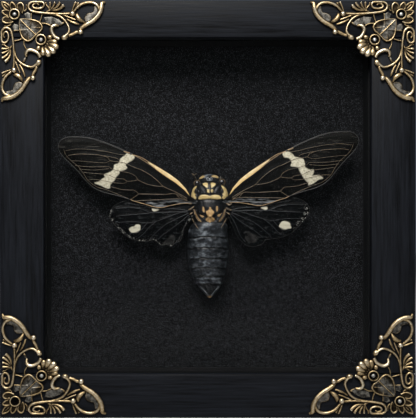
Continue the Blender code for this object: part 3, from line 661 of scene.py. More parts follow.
def makeOrnamentPieces():
    groups = {}
    for tube in makeStrandTubes():
        groups.setdefault(tube[0][4], []).append([row[:4] for row in tube])
    pieces = []
    for tall, group in groups.items():
        piece = makeTubes("strands", group, 3)
        piece.scale = (1.0, tall * 1.2, 1.0)
        pieces.append(applyPlace(piece))
    for u, v in ((28.94, 5.23), (32.17, 12.57), (5.23, 28.94), (12.57, 32.17)):
        u, v = settled(u, v)
        bpy.ops.mesh.primitive_uv_sphere_add(segments=32, ring_count=20, radius=1.08, location=(u, 0.85, v))
        pieces.append(bpy.context.object)
    for inset in (ornamentSet["flower"], ornamentSet["fan"]):
        u, v = settled(inset, inset)
        bpy.ops.mesh.primitive_torus_add(major_segments=64, minor_segments=16, major_radius=1.91, minor_radius=0.37,
            location=(u, 1.45, v), rotation=(math.pi / 2, 0, 0))
        pieces.append(bpy.context.object)
        bpy.ops.mesh.primitive_cylinder_add(vertices=48, radius=2.0, depth=1.1, location=(u, 0.55, v),
            rotation=(math.pi / 2, 0, 0))
        disc = bpy.context.object
        bpy.ops.mesh.primitive_cylinder_add(vertices=48, radius=0.5, depth=4, location=(u, 0.55, v),
            rotation=(math.pi / 2, 0, 0))
        drill = applyPlace(bpy.context.object)
        pieces.append(cutWith(applyPlace(disc), drill))
    plates = [(name, loop, swap) for name, loop in floors.items() for swap in (False,
        True) if not (swap and name == "sideLeaf")]
    plates += [(name, loop, False) for name, loop in middleFloors.items()]
    return pieces + [makePlate(*plate) for plate in plates]


def makeOrnament():
    casting = joinAs("casting", *makeOrnamentPieces())
    casting.scale = (mm, mm, mm)
    applyPlace(casting)
    addModifier(casting, "REMESH", mode="VOXEL", voxel_size=ornamentSet["voxel"])
    points = readPoints(casting)
    points[:, 1] = np.clip(points[:, 1], 0.0, None)
    writePoints(casting, points)
    addModifier(casting, "SMOOTH", factor=0.5, iterations=ornamentSet["smooth"])
    points = readPoints(casting)
    height = points[:, 1]
    soft = 0.0002        # tall strands level off softly
    start = ornamentSet["rise"] - soft
    points[:, 1] = np.where(height > start, start + soft * np.tanh((height - start) / soft), height)
    points[:, 1] = np.clip(points[:, 1], 0.0, None)
    points[:, [0, 2]] = np.clip(points[:, [0, 2]], 0.00001, None)
    writePoints(casting, points)
    paintWearAndLight(casting, points)
    faces = len(casting.data.polygons)
    addModifier(casting, "DECIMATE", ratio=min(1.0, ornamentSet["faces"] / faces))
    print("ornament faces", faces, "->", len(casting.data.polygons))
    return casting


def paintWearAndLight(casting, points):        # high and outward places are rubbed bright and get a painted highlight, low ones stay dark with patina and painted shade
    edges = np.empty(len(casting.data.edges) * 2, np.int32)
    casting.data.edges.foreach_get("vertices", edges)
    edges = edges.reshape(-1, 2)
    count = np.bincount(edges.ravel(), minlength=len(points)).astype(float)
    level = points[:, 1] / mm
    around = level.copy()
    for _ in range(28):
        total = np.zeros(len(points))
        np.add.at(total, edges[:, 0], around[edges[:, 1]])
        np.add.at(total, edges[:, 1], around[edges[:, 0]])
        around = 0.5 * around + 0.5 * total / np.maximum(count, 1)
    # height above the surroundings sets real wear and painted light together: painted highlight on crests, painted
    # shade in hollows
    wearAndPaintedLight = 0.39 + 1.5 * (level - around) + 0.26 * (level - 0.9)
    flat = points[:, [0, 2]] / mm
    for inset in (ornamentSet["flower"], ornamentSet["fan"]):
        away = np.linalg.norm(flat - np.array(settled(inset, inset)), axis=1)
        # painted shade: the recess inside each nail ring goes near-black, with a darker band round it
        wearAndPaintedLight = np.where(away < 1.75, np.minimum(wearAndPaintedLight, 0.03), wearAndPaintedLight)
        wearAndPaintedLight -= 0.22 * ((away > 1.5) & (away < 2.6))
    # painted reflection: flat low leaves turn grey in place of gold, kept in the plate field
    heart = patchMask(flat, [settled(*at) for at in middleFloors["heart"]], 0.3, smooth=False)
    reflectionGrey = heart * smoothStep(-np.abs(flat[:, 0] - flat[:, 1]), -4.5, -2.0)
    for key in ("endLeaf", "sideLeaf", "latticeLeaf"):
        for turn in (1, -1):
            reflectionGrey += patchMask(flat, [settled(*at[::turn]) for at in floors[key]], 0.2, smooth=False)
    low = 1 - smoothStep(level, 0.80, 1.0)
    writeField(casting, "plate", 0.9 * np.clip(reflectionGrey, 0, 1) * low)
    writeField(casting, "wearAndPaintedLight", np.clip(wearAndPaintedLight, 0, 1))


brass, tree, shader = startMaterial("antiqueBrass", Metallic=1.0, Roughness=0.4)
wearAndPaintedLight = fieldOf(tree, "wearAndPaintedLight")
patina = noiseOf(tree, 700, 4.0, roughness=0.6)
fine = noiseOf(tree, 3800, 3.0)
shine = mathOf(tree, "ADD", wearAndPaintedLight, mathOf(tree, "MULTIPLY", mathOf(tree, "SUBTRACT", patina, 0.5), 0.5))
# the top stop is a painted highlight colour, the lowest stops are patina and painted shade
colour = rampOf(tree, shine, [(0.16, (0.004, 0.0035, 0.003)), (0.36, (0.050, 0.036, 0.020)),
    (0.55, (0.46, 0.335, 0.175)), (0.80, (0.98, 0.87, 0.66))])
# grey of the painted reflection on the flat leaves
flatReflectionGrey = rampOf(tree, patina, [(0.38, (0.030, 0.029, 0.026)), (0.66, (0.25, 0.238, 0.21))])
feed(tree, shader, "Base Color", mixOf(tree, fieldOf(tree, "plate"), colour, flatReflectionGrey))
feed(tree, shader, "Roughness", rangeOf(tree, shine, 0.15, 0.85, 0.62, 0.27))
useBump(tree, shader, mathOf(tree, "ADD", fine, patina), 0.25, 0.00006)

casting = makeOrnament()
paintAll(casting, brass)
for level, up in (("Top", 1), ("Bottom", -1)):
    for side, across in (("Left", 1), ("Right", -1)):
        name = f"cornerOrnament{level}{side}"
        twin = copyOf(casting, name)
        points = readPoints(twin) * ornamentSet["shrink"]
        sideIn, endIn = ornamentSet["standIn"][level + side]
        corner = Vector((-across * (halfWidth - sideIn), 0, frameSize["height"] - endIn if up > 0 else endIn))
        if up < 0:
            turn = np.degrees(np.arctan2(points[:, 2], points[:, 0]))
            points[:, 2] *= 1 + ornamentSet["lowArmSpread"] * (1 - smoothStep(turn, 20, 45))
        points = np.column_stack([corner.x + across * points[:, 0], frontY - ornamentSet["lift"] - points[:, 1],
            corner.z - up * points[:, 2]])
        writePoints(twin, points)
        smoothShade(fixNormals(twin), 60)
        keepPiece(twin, "antique_brass", f"corner_ornament_{level.lower()}_{side.lower()}")
        for ring in ("flower", "fan"):
            place = f"{level.lower()}_{side.lower()}_{ring}"
            if place == ornamentSet["emptyHole"]:
                continue
            u, v = settled(ornamentSet[ring], ornamentSet[ring])
            nail = makeHead(f"nail{level}{side}{ring.title()}", *ornamentSet["nail"])
            nail.rotation_euler.x = math.pi / 2
            scale = mm * ornamentSet["shrink"]
            nail.location = (corner.x + across * u * scale, frontY - ornamentSet["nailOut"],
                corner.z - up * v * scale)
            applyPlace(nail)
            paintAll(smoothShade(nail, 60), nailTone)
            keepPiece(nail, "bright_steel", "nail_" + place)
bpy.data.objects.remove(casting, do_unlink=True)
print("corner ornaments made")


# Millimetres out and up from the root of the right wing; the left one is its mirror image.

wingSet = {
    "rootX": 0.0010,
    "rootZ": 0.0851,
    "turn": math.radians(1.15),
    "camber": 1.2,
    "thickness": 0.16,
    "foreY": -0.0018,
    "hindY": -0.0006,
    "foreGrid": (230, 72),
    "hindGrid": (150, 80),
}

foreLead = [(4, 3), (7.4, 3.5), (9.6, 6.9), (12.7, 10.4), (16.5, 13.3), (20.3, 15.7), (24.1, 18), (27.8, 20.2),
    (31.2, 21.4), (33.4, 22.4), (37.3, 24.3), (42.2, 26.4), (47.4, 28.2), (52.3, 29), (57.2, 29.1), (59.8, 28.3),
    (61.3, 26.6), (61.6, 25)]
foreHind = [(4, .4), (8, 1), (11.8, .9), (16.2, .2), (19.2, -.5), (21.8, -.4), (24.5, .3), (27.5, 1.3), (31.2, 2.4),
    (32.7, 3.1), (38.7, 5), (43.3, 6.2), (47.4, 8.2), (50.5, 11.1), (53.5, 14.8), (56.2, 17.7), (59.2, 20.7),
    (60.8, 22.9), (61.6, 25)]
costaEdge = [(8.2, 4.0), (10.1, 6.3), (13.7, 9.4), (17.5, 12), (21, 14.6), (24.5, 17.3), (28.6, 20), (31.2, 21.3)]
foreVeins = {
    "radiusUpper": (.17, [(9.2, 3), (13.9, 5.7), (18.7, 8), (20.9, 10.2), (24.3, 13), (28.1, 15.2), (29.6, 15.7),
        (33.6, 17.5), (35.3, 18.2), (40.2, 19), (41.3, 20.3), (44.3, 21.3), (48.4, 21.8), (53.7, 22), (57.4, 21.6)]),
    "radiusFork": (.15, [(18.7, 8), (22, 8.3), (25, 9), (27.6, 10.1), (29.2, 11)]),
    "mediaUpper": (.14, [(29.2, 11), (30, 12.4), (31.6, 13.4), (33.7, 14.1), (37.1, 14.8), (40.1, 15.8), (41.2, 16.6),
        (45.7, 16.6), (50.2, 16.8), (54.7, 17.4)]),
    "mediaLower": (.14, [(29.2, 11), (31, 10.6), (33.5, 10.5), (35.1, 11.4), (38.1, 11.8), (41.2, 13.2), (44.2, 13.7),
        (47.5, 14), (51.3, 14.5)]),
    "mediaFork": (.13, [(33.5, 10.5), (34.7, 9.7), (37.4, 9.8), (40, 10.2), (46, 11.4), (50.1, 11.4)]),
    "cubitus": (.17, [(9.2, 2.2), (13.8, 4.9), (18.2, 4.8), (23.8, 5), (29, 5.2)]),
    "cubitusFore": (.14, [(29, 5.2), (30.7, 6.7), (33, 6.9), (36, 7.2), (38.2, 7.8), (40.7, 8.5)]),
    "cubitusHind": (.14, [(29, 5.2), (31.2, 3.7), (32.5, 3)]),
    "basalCross": (.14, [(13.8, 4.9), (12.6, 3.6), (12.1, 2.9)]),
    "clavus": (.16, [(9.2, 1.9), (12.1, 2.9), (20, 2.7), (27.5, 2.5), (31.2, 2.4), (32.7, 3.1)]),
    "apical1": (.12, [(33.5, 21.1), (37.2, 21.7), (41, 22.6), (44.3, 23.2), (48.5, 23.8), (54.1, 24.1),
        (58.6, 23.5)]),
    "apical2": (.12, [(40.2, 19), (42.4, 18.2), (46.5, 18.5), (51, 19), (56.6, 19.4)]),
    "apical3": (.12, [(41, 15.8), (44.6, 15.4), (48.3, 15.4), (53.2, 15.9)]),
    "apical4": (.12, [(36.8, 19.3), (37.9, 20), (42.8, 21.2)]),
    "submargin": (.13, [(59.3, 24), (58.5, 21.8), (56.6, 19.6), (53.6, 17), (51.5, 14.1), (49.7, 11.3), (46.3, 8.6),
        (42.5, 7.3), (38, 5.5), (32.7, 3.1)]),
}
whiteBand = {
    "Right": [(30.4, 21.2), (31.6, 21.4), (33.3, 21.1), (34.6, 19.9), (35.3, 19.1), (38.3, 18.3), (39.2, 16.6),
        (39.3, 14.9), (41.2, 13.7), (42.8, 13.7), (42.6, 12), (42.1, 11.3), (44.9, 11.4), (45.8, 10.9), (46.7, 10.1),
        (44.8, 9.6), (42.9, 8.3), (40.7, 7.4), (40.5, 8.3), (39, 9.9), (38.1, 11.4), (37, 13.3), (36.3, 14.8),
        (33.9, 15.2), (33.4, 15.8), (33.9, 16.7), (32.9, 18.6), (30.8, 19.2)],
    "Left": [(32.8, 22.3), (30.8, 21.2), (30.5, 20), (31.6, 18.9), (32.9, 18.2), (34.1, 17.1), (33.5, 16),
        (34.7, 15.1), (36.5, 14.6), (36.8, 13.6), (38.1, 12.3), (38.7, 11.1), (40.4, 9.4), (40.8, 7.9), (42.3, 7.9),
        (43.8, 8.7), (45.2, 9.3), (47.1, 10.1), (45.2, 10.6), (43.7, 11.7), (42.6, 12.4), (42.9, 13.4), (40.7, 14.3),
        (39.1, 15.4), (38.7, 17.2), (37.2, 17.8), (36.5, 18.7), (36.1, 19.8), (34.6, 20.9)],
}
hindLead = [(4, .5), (9, 1.4), (16, 3.0), (24, 4.0), (31.2, 3.2), (36.2, 2.1), (39.4, .5), (40.9, -1.6)]
hindHind = {
    "Right": [(4, -2.6), (7.5, -4.4), (8.4, -6.7), (9.7, -9.4), (10.4, -11.6), (11.8, -13.9), (14, -16.2),
        (16.3, -17.2), (19.2, -17), (21.6, -15.9), (22.7, -14.5), (24.2, -14.4), (27.2, -14.1), (30.2, -13.5),
        (33.2, -12.1), (35.8, -9.9), (37.9, -7.7), (39.5, -5.8), (40.9, -3.6), (40.9, -1.6)],
    "Left": [(4, -2.6), (7, -4.2), (8.5, -6.5), (10.5, -8.8), (11.5, -12.1), (12.5, -14.5), (14.5, -15.1),
        (16.1, -16.5), (18, -15.6), (20.2, -16), (22.1, -14.4), (23.5, -13.6), (25.7, -14.2), (28.4, -14.2),
        (31.7, -13.4), (34.4, -11.9), (37.1, -9.4), (39.8, -6.3), (41.2, -3.8), (40.9, -1.6)],
}
hindVeins = [
    [(8.7, -2), (14.3, -1.2), (21.1, -1.1), (24.4, -.3), (28.2, .6), (33.4, 1.4)],
    [(9.1, -2.3), (16.2, -2.5), (23.7, -2.5), (25.9, -1.9), (28.9, -.8), (33.4, -.3), (38.6, -.6)],
    [(23.7, -2.5), (28.1, -3), (34.8, -3.4), (38.6, -3.7)],
    [(9.1, -2.6), (12.4, -2.8), (18, -4.7), (22.2, -6.2), (25.8, -6.7), (30.3, -6.2), (34.8, -6.1), (37.8, -6.3)],
    [(22.2, -6.2), (25, -8.5), (27.2, -10.9), (29.5, -12.8)],
    [(8.8, -3), (14.2, -5.5), (17.9, -7.3), (20.5, -9.2), (23.5, -11.9), (25.1, -13.8)],
    [(8.7, -3.7), (12.4, -6.8), (16, -9.3), (19.7, -11.9), (21.7, -13.9)],
    [(8.4, -4.3), (10.5, -8.2), (12.2, -12.5), (14.5, -15.5)],
    [(25.8, -6.7), (28.7, -9.7), (33.2, -11.1)],
]
hindSpots = {
    "Right": [[(28.3, -9.2), (29.5, -7.3), (31, -7.2), (32.6, -7.9), (33, -9.1), (33.3, -10), (31.7, -10.2),
        (30.6, -10.6), (29.3, -10.1)], [(21, -1.4), (22, -1), (23.5, -1.2), (23.6, -2), (22.9, -2.3), (22, -2)]],
    "Left": [[(33.3, -9.1), (32.3, -8.3), (31, -8), (30.3, -7.3), (28.8, -7.5), (28.6, -8.5), (28.9, -9.6),
        (30, -10.4), (31.1, -10.6), (32.5, -10.4), (32.9, -9.8)],
        [(23.6, -.9), (22.4, -.8), (20.9, -1), (21.3, -1.6), (22.7, -2), (23.5, -1.7)]],
}
hindClear = {
    "Right": [(13.9, -11.1), (15.6, -11), (17.8, -12.5), (19.7, -13.1), (18.9, -14.8), (17, -15.7), (14.8, -14.7)],
    "Left": [(19.5, -15.1), (18, -13.6), (16.3, -12.3), (15, -12), (14.4, -13.1), (15, -14.8), (16.4, -15.8),
        (18, -15.7)],
}


def wingPlace(points, sign, y):        # local millimetres (out, off, up) to metres, turned a little
    x, z = points[:, 0] * mm * sign, points[:, 2] * mm
    c, s = math.cos(wingSet["turn"]), math.sin(wingSet["turn"])
    return np.column_stack([wingSet["rootX"] + x * c - z * s, y + points[:, 1] * mm,
        wingSet["rootZ"] + x * s + z * c])


def makeSheet(name, lead, hind, grid):
    along, across = grid
    bpy.ops.mesh.primitive_grid_add(x_subdivisions=along, y_subdivisions=across, size=2)
    sheet = bpy.context.object
    sheet.name = name
    points = readPoints(sheet)
    s, t = (points[:, 0] + 1) / 2, (points[:, 1] + 1) / 2
    front, rear = smoothLine(lead, 400), smoothLine(hind, 400)
    run = np.linspace(0, 1, 400)
    fx, fz = np.interp(s, run, front[:, 0]), np.interp(s, run, front[:, 1])
    rx, rz = np.interp(s, run, rear[:, 0]), np.interp(s, run, rear[:, 1])
    u, z = rx + (fx - rx) * t, rz + (fz - rz) * t
    bulge = -wingSet["camber"] * np.sin(math.pi * t) * np.sin(math.pi * np.minimum(1, 0.15 + s * 0.75))
    flat = np.column_stack([u, z])
    return sheet, flat, bulge, s


def nearest(flat, lines):
    return np.min([distanceTo(flat, line) for line in lines], axis=0)


def paintParts(parts, *materials):        # each part with the number of its material
    for piece, index in parts:
        paintAll(piece, *materials)
        faces = piece.data.polygons
        faces.foreach_set("material_index", np.full(len(faces), index, np.int32))


def surfaceOff(flat, bulge, line):        # how far off the sheet lies along a line
    off = []
    for at in line[:, :2]:
        away = ((flat - at) ** 2).sum(1)
        near = np.argsort(away)[:4]
        weight = 1 / (away[near] + 1e-4)
        off.append((bulge[near] * weight).sum() / weight.sum())
    return np.array(off)


def veinTube(line, radii, flat, bulge, sign, y, lift=0.06):
    off = surfaceOff(flat, bulge, line)
    placed = wingPlace(np.column_stack([line[:, 0], off - lift, line[:, 1]]), sign, y)
    return np.column_stack([placed, np.asarray(radii) * mm])


def makeForewing(side, sign):
    y = wingSet["foreY"]
    sheet, flat, bulge, _ = makeSheet("forewing" + side, foreLead, foreHind, wingSet["foreGrid"])
    lines = {key: smoothLine(rows, len(rows) * 9) for key, (radius, rows) in foreVeins.items()}
    near = nearest(flat, lines.values())
    lead, hind = smoothLine(foreLead, 160), smoothLine(foreHind, 160)
    edgeAway = nearest(flat, (lead, hind))
    bulge = bulge + 0.10 * np.sin(near * 1.3) * smoothStep(edgeAway, 0, 2.5)        # cells sag between the veins
    points = np.column_stack([flat[:, 0], bulge, flat[:, 1]])
    writePoints(sheet, wingPlace(points, sign, y))
    strip = foreLead[2:10] + [(32.2, 21.6)] + costaEdge[::-1]
    writeField(sheet, "costa", patchMask(flat, strip, 0.12, smooth=False) * (1 - smoothStep(flat[:, 0], 20.5, 24.0)))
    writeField(sheet, "white", patchMask(flat, whiteBand[side], 0.16))
    writeField(sheet, "near", near)
    writeField(sheet, "outer", smoothStep(flat[:, 0], 30, 40))
    clavus = distanceTo(flat, lines["clavus"])
    below = flat[:, 1] < np.interp(flat[:, 0], lines["clavus"][:, 0], lines["clavus"][:, 1])
    writeField(sheet, "clavus", np.where(below & (flat[:, 0] < 31.5), smoothStep(clavus, 0.1, 0.5), 0))
    addModifier(sheet, "SOLIDIFY", thickness=wingSet["thickness"] * mm, offset=0.0)
    tubes = []
    for key, (radius, rows) in foreVeins.items():
        line = lines[key]
        taper = np.interp(line[:, 0], [9, 30, 60], [1.0, 0.85, 0.65])
        tubes.append(veinTube(line, radius * taper, flat, bulge, sign, y))
    veins = makeTubes("veins", tubes, 1)
    outerHind = hind[hind[:, 0] > 31.5]
    hindEdge = veinTube(outerHind, np.interp(outerHind[:, 0], [31, 61], [.17, .14]), flat, bulge, sign, y, 0.02)
    darkLead = lead[lead[:, 0] > 31.5]
    leadEdge = veinTube(darkLead, np.interp(darkLead[:, 0], [31, 45, 61], [.36, .26, .15]), flat, bulge, sign, y,
        0.05)
    rims = makeTubes("rims", [hindEdge, leadEdge], 2)
    tip = smoothLine([(32.2, 21.9), (33.6, 22.4), (34.8, 22.9)], 12)
    edge = smoothLine(costaEdge, 60)
    foot = hind[(hind[:, 0] > 8) & (hind[:, 0] < 32.5)]
    outerLine, innerLine = lead[(lead[:, 0] > 19) & (lead[:, 0] < 33)], edge[edge[:, 0] > 17]
    node = makeTubes("node", [
        veinTube(tip, [.15] + [.3] * 10 + [.15], flat, bulge, sign, y, 0.12),
        veinTube(foot, np.full(len(foot), .15), flat, bulge, sign, y, 0.06),
        veinTube(outerLine, np.full(len(outerLine), .13), flat, bulge, sign, y, 0.08),
        veinTube(innerLine, np.full(len(innerLine), .1), flat, bulge, sign, y, 0.08)], 2)
    outer = smoothLine(foreLead[1:10], 60)
    middle = (edge + outer) / 2
    middle[0] = (8.0, 3.9)
    half = np.interp(middle[:, 0], [8.0, 10, 13.5, 17, 20.5, 24, 26, 32], [.08, .30, .60, .82, .62, .34, .1, .06])
    rib = makeTubes("rib", [veinTube(middle, half, flat, bulge, sign, y, 0.1)], 4)
    points = readPoints(rib)
    points[:, 1] = y + (points[:, 1] - y) * 0.42
    writePoints(rib, points)
    parts = ((sheet, 0), (veins, 1), (rims, 2), (node, 3), (rib, 4))
    paintParts(parts, membrane, veinTan, rimDark, nodeOrange, costaYellow)
    wing = joinAs("forewing" + side, sheet, veins, rims, node, rib)
    smoothShade(fixNormals(wing), 60)
    return keepPiece(wing, "forewing", "forewing_" + side.lower())


def makeHindwing(side, sign):
    y = wingSet["hindY"]
    sheet, flat, bulge, s = makeSheet("hindwing" + side, hindLead, hindHind[side], wingSet["hindGrid"])
    lines = [smoothLine(rows, len(rows) * 9) for rows in hindVeins]
    near = nearest(flat, lines)
    hind = smoothLine(hindHind[side], 160)
    away = distanceTo(flat, hind)
    ripple = 0.14 * np.sin(near * 1.5) + 0.10 * np.sin(flat[:, 0] * 1.9 + flat[:, 1] * 0.7) * smoothStep(-away, -3, 0)
    bulge = bulge * 0.8 + ripple * smoothStep(s, 0.05, 0.4)
    writePoints(sheet, wingPlace(np.column_stack([flat[:, 0], bulge, flat[:, 1]]), sign, y))
    writeField(sheet, "white", np.max([patchMask(flat, loop, 0.16) for loop in hindSpots[side]], axis=0))
    rim = smoothStep(-away, -2.6 if side == "Right" else -1.2, -0.3)
    writeField(sheet, "frayed", rim * (smoothStep(flat[:, 0], 33, 38) * smoothStep(-flat[:, 1], -1.5,
        1) if side == "Right" else 0.8))
    writeField(sheet, "clear", patchMask(flat, hindClear[side], 0.3))
    addModifier(sheet, "SOLIDIFY", thickness=wingSet["thickness"] * mm * 0.8, offset=0.0)
    tubes = [veinTube(line, np.linspace(.14, .07, len(line)), flat, bulge, sign, y) for line in lines]
    veins = makeTubes("veins", tubes, 1)
    rims = makeTubes("rims", [
        veinTube(line, np.full(len(line), radius), flat, bulge, sign, y, 0.0)
        for line, radius in ((hind, .08), (smoothLine(hindLead, 80), .09))], 1)
    paintParts(((sheet, 0), (veins, 1), (rims, 2)), hindMembrane, hindVein, rimDark)
    wing = joinAs("hindwing" + side, sheet, veins, rims)
    smoothShade(fixNormals(wing), 60)
    return keepPiece(wing, "hindwing", "hindwing_" + side.lower())


membrane, tree, shader = startMaterial("forewingMembrane", Roughness=0.5, Alpha=0.94, Specular_IOR_Level=0.06)
grain = noiseOf(tree, 1500, 3.0)
mottle = noiseOf(tree, 260, 3.0)
near = fieldOf(tree, "near")
streak = mathOf(tree, "MULTIPLY", rangeOf(tree, near, 0.35, 0.9), fieldOf(tree, "outer"))
fibres = rangeOf(tree, noiseOf(tree, 1500, 3.0, (0.10, 1.0, 1.0), 0.6), 0.56, 0.72)
smoke = rampOf(tree, mottle, [(0.35, (0.0006, 0.0006, 0.0006)), (0.7, (0.0040, 0.0039, 0.0037))])
pale = rampOf(tree, grain, [(0.35, (0.0010, 0.0009, 0.0008)), (0.7, (0.014, 0.013, 0.011))])
colour = mixOf(tree, mathOf(tree, "MULTIPLY", streak, 0.5), smoke, pale)
colour = mixOf(tree, mathOf(tree, "MULTIPLY", fibres, mathOf(tree, "ADD",
    mathOf(tree, "MULTIPLY", fieldOf(tree, "outer"), 0.30), 0.10)), colour, (0.085, 0.078, 0.066))
# painted sheen: pale bluish-white streaks across the clavus
sheen = rangeOf(tree, noiseOf(tree, 1300, 3.0, (0.14, 1.0, 1.0), 0.6), 0.48, 0.68)
colour = mixOf(tree, fieldOf(tree, "clavus"), colour, mixOf(tree, sheen, (0.004, 0.0042, 0.0045),
    (0.27, 0.28, 0.285)))
colour = mixOf(tree, fieldOf(tree, "white"), colour, rampOf(tree, grain,
    [(0.3, (0.42, 0.38, 0.27)), (0.7, (0.80, 0.75, 0.58))]))
colour = mixOf(tree, fieldOf(tree, "costa"), colour, (0.76, 0.52, 0.22))
feed(tree, shader, "Base Color", colour)
solid = mathOf(tree, "MAXIMUM", fieldOf(tree, "white"), fieldOf(tree, "costa"))
feed(tree, shader, "Alpha", rangeOf(tree, solid, 0, 1, 0.94, 1.0))
useBump(tree, shader, grain, 0.3, 0.00006)


def makeFlatTone(name, dark, pale, roughness, scale=1200):
    material, tree, shader = startMaterial(name, Roughness=roughness)
    tone = noiseOf(tree, scale, 3.0)
    feed(tree, shader, "Base Color", rampOf(tree, tone, [(0.3, dark), (0.7, pale)]))
    useBump(tree, shader, tone, 0.2, 0.00005)
    return material


veinTan = makeFlatTone("veinTan", (0.032, 0.023, 0.013), (0.165, 0.118, 0.070), 0.5)
rimDark = makeFlatTone("rimDark", (0.006, 0.006, 0.006), (0.040, 0.037, 0.034), 0.4)
nodeOrange = makeFlatTone("nodeOrange", (0.24, 0.15, 0.07), (0.50, 0.33, 0.17), 0.45)
costaYellow = makeFlatTone("costaYellow", (0.72, 0.53, 0.25), (0.96, 0.78, 0.44), 0.4, 500)
hindVein = makeFlatTone("hindVein", (0.004, 0.0045, 0.0055), (0.020, 0.022, 0.026), 0.45)

hindMembrane, tree, shader = startMaterial("hindwingMembrane", Roughness=0.42, Alpha=0.97, Specular_IOR_Level=0.06)
grain = noiseOf(tree, 1700, 3.0)
mottle = noiseOf(tree, 300, 3.0)
colour = rampOf(tree, mottle, [(0.35, (0.0005, 0.0006, 0.0008)), (0.7, (0.0026, 0.0032, 0.0040))])
colour = mixOf(tree, mathOf(tree, "MULTIPLY", fieldOf(tree, "frayed"), rangeOf(tree, grain, 0.56, 0.64)), colour,
    (0.42, 0.41, 0.37))
fibres = rangeOf(tree, noiseOf(tree, 1900, 3.0, (0.16, 1.0, 0.8), 0.65), 0.58, 0.74)
colour = mixOf(tree, mathOf(tree, "MULTIPLY", fibres, 0.6), colour, (0.050, 0.052, 0.052))
colour = mixOf(tree, mathOf(tree, "MULTIPLY", fieldOf(tree, "clear"), 0.7), colour,
    rampOf(tree, mottle, [(0.35, (0.006, 0.006, 0.006)), (0.65, (0.060, 0.058, 0.054))]))
colour = mixOf(tree, mathOf(tree, "MULTIPLY", fieldOf(tree, "white"), rangeOf(tree, mottle, 0.30, 0.46, 0.25, 1.0)),
    colour, (0.66, 0.62, 0.48))
feed(tree, shader, "Base Color", colour)
useBump(tree, shader, grain, 0.3, 0.00006)

for side, sign in (("Left", -1), ("Right", 1)):
    makeForewing(side, sign)
    makeHindwing(side, sign)
print("wings made")


# Millimetres from the middle of the thorax: right, back (minus is to the front) and up.

bodySet = {"x": 0.0010, "y": 0.0006, "z": 0.0851}

marks = {
    "yellow": [
        [(-2.83, 8.78), (-2.16, 9.12), (-.93, 9.04), (-.81, 7.55), (-1.11, 7.1), (-1.86, 7.62), (-2.53, 8.15)],
        [(.46, 9.04), (1.73, 9.12), (2.4, 8.74), (2.1, 8.07), (1.28, 7.47), (.68, 7.1)],
        [(-1.04, 6.35), (-.44, 6.43), (-.22, 5.6), (-.52, 5.01), (-.96, 5.38)],
        [(.53, 6.35), (1.13, 6.43), (1.28, 5.75), (.9, 5.16), (.53, 5.46)],
        [(-4.48, 2.54), (-4.25, 3.51), (-3.43, 4.11), (-1.41, 4.18), (-.22, 3.74), (.46, 3.81), (1.65, 4.18),
            (3.59, 4.04), (4.42, 3.44), (4.64, 2.54), (2.7, 2.39), (.83, 2.54), (-.1, 2.76), (-1.04, 2.54),
            (-2.91, 2.32)],
        [(-5.4, 7.9), (-5.6, 7.2), (-6.1, 6.4), (-6.4, 5.6), (-6.2, 4.9), (-5.7, 4.5), (-6.1, 4.0), (-5.6, 3.3),
            (-5.7, 2.6), (-6.3, 1.9), (-7.3, 2.1), (-8.0, 3.2), (-8.0, 4.8), (-7.4, 6.3), (-6.4, 7.4)],
        [(4.8, 8.1), (5.0, 7.4), (5.5, 6.5), (5.8, 5.7), (5.7, 5.0), (5.2, 4.6), (5.6, 4.0), (5.1, 3.4), (5.3, 2.7),
            (6.1, 2.1), (7.2, 2.2), (7.8, 3.2), (7.8, 4.8), (7.2, 6.2), (5.9, 7.6)],
    ],
    "head": [
        [(-4.92, 10.84), (-4.59, 11.4), (-3.47, 12.03), (-2.46, 12.26), (-2.08, 11.81), (-2.91, 11.13),
            (-4.03, 10.84)],
        [(.75, 12.03), (1.95, 12.4), (3.15, 12.11), (3.59, 11.51), (3.15, 11.13), (2.25, 11.43), (1.05, 11.58)],
    ],
    "ocelliAndRidgeHighlight": [[(-1.41, 11.21), (-.29, 11.66), (.9, 11.28), (1.2, 10.54), (.27, 10.01), (-1.04, 10.16)]],
    "tan": [
        [(.16, -.6), (.61, -1.49), (1.28, -2.24), (1.73, -2.69), (1.43, -3.59), (.9, -4.33), (1.43, -5.16),
            (2.1, -5.68), (1.8, -6.43), (.9, -7.47), (-.29, -7.62), (-1.04, -6.73), (-1.71, -5.9), (-1.34, -5.38),
            (-.74, -4.93), (-1.04, -4.04), (-1.49, -3.14), (-1.41, -2.47), (-.59, -2.02), (-.22, -1.42)],
        [(-2.91, -.75), (-2.46, -.82), (-2.08, -2.24), (-2.38, -2.99), (-2.91, -2.24)],
        [(2.77, -.45), (3.22, -.6), (3.3, -1.94), (2.85, -2.69), (2.62, -1.87)],
        [(-4.92, -3.74), (-3.88, -4.04), (-2.46, -4.48), (-2.91, -5.01), (-4.18, -4.71), (-4.92, -4.33)],
        [(3.3, -3.74), (4.19, -3.59), (5.01, -3.29), (4.64, -4.18), (3.74, -4.71), (3.22, -4.48)],
    ],
}


def makeShell(name, rows, segments, rings, squareness=1.0):
    bpy.ops.mesh.primitive_uv_sphere_add(segments=segments, ring_count=rings, radius=1.0)
    shell = bpy.context.object
    shell.name = name
    points = readPoints(shell)
    line = np.array(rows, float)        # up, half width, front, back
    run = np.concatenate([[0], np.cumsum(np.hypot(np.diff(line[:, 0]), np.diff(line[:, 1])))])
    run /= run[-1]
    t = np.arccos(np.clip(points[:, 2], -1, 1)) / math.pi
    up, wide, front, back = (np.interp(t, run, line[:, k]) for k in range(4))
    turn = np.arctan2(points[:, 1], points[:, 0])
    c, s = np.cos(turn), np.sin(turn)
    c = np.sign(c) * np.abs(c) ** squareness
    x = wide * c
    y = np.where(s < 0, front * s, back * s)
    return shell, np.column_stack([x, y, up])


def placeBody(piece, local):
    writePoints(piece, np.column_stack([bodySet["x"] + local[:, 0] * mm, bodySet["y"] + local[:, 1] * mm,
        bodySet["z"] + local[:, 2] * mm]))


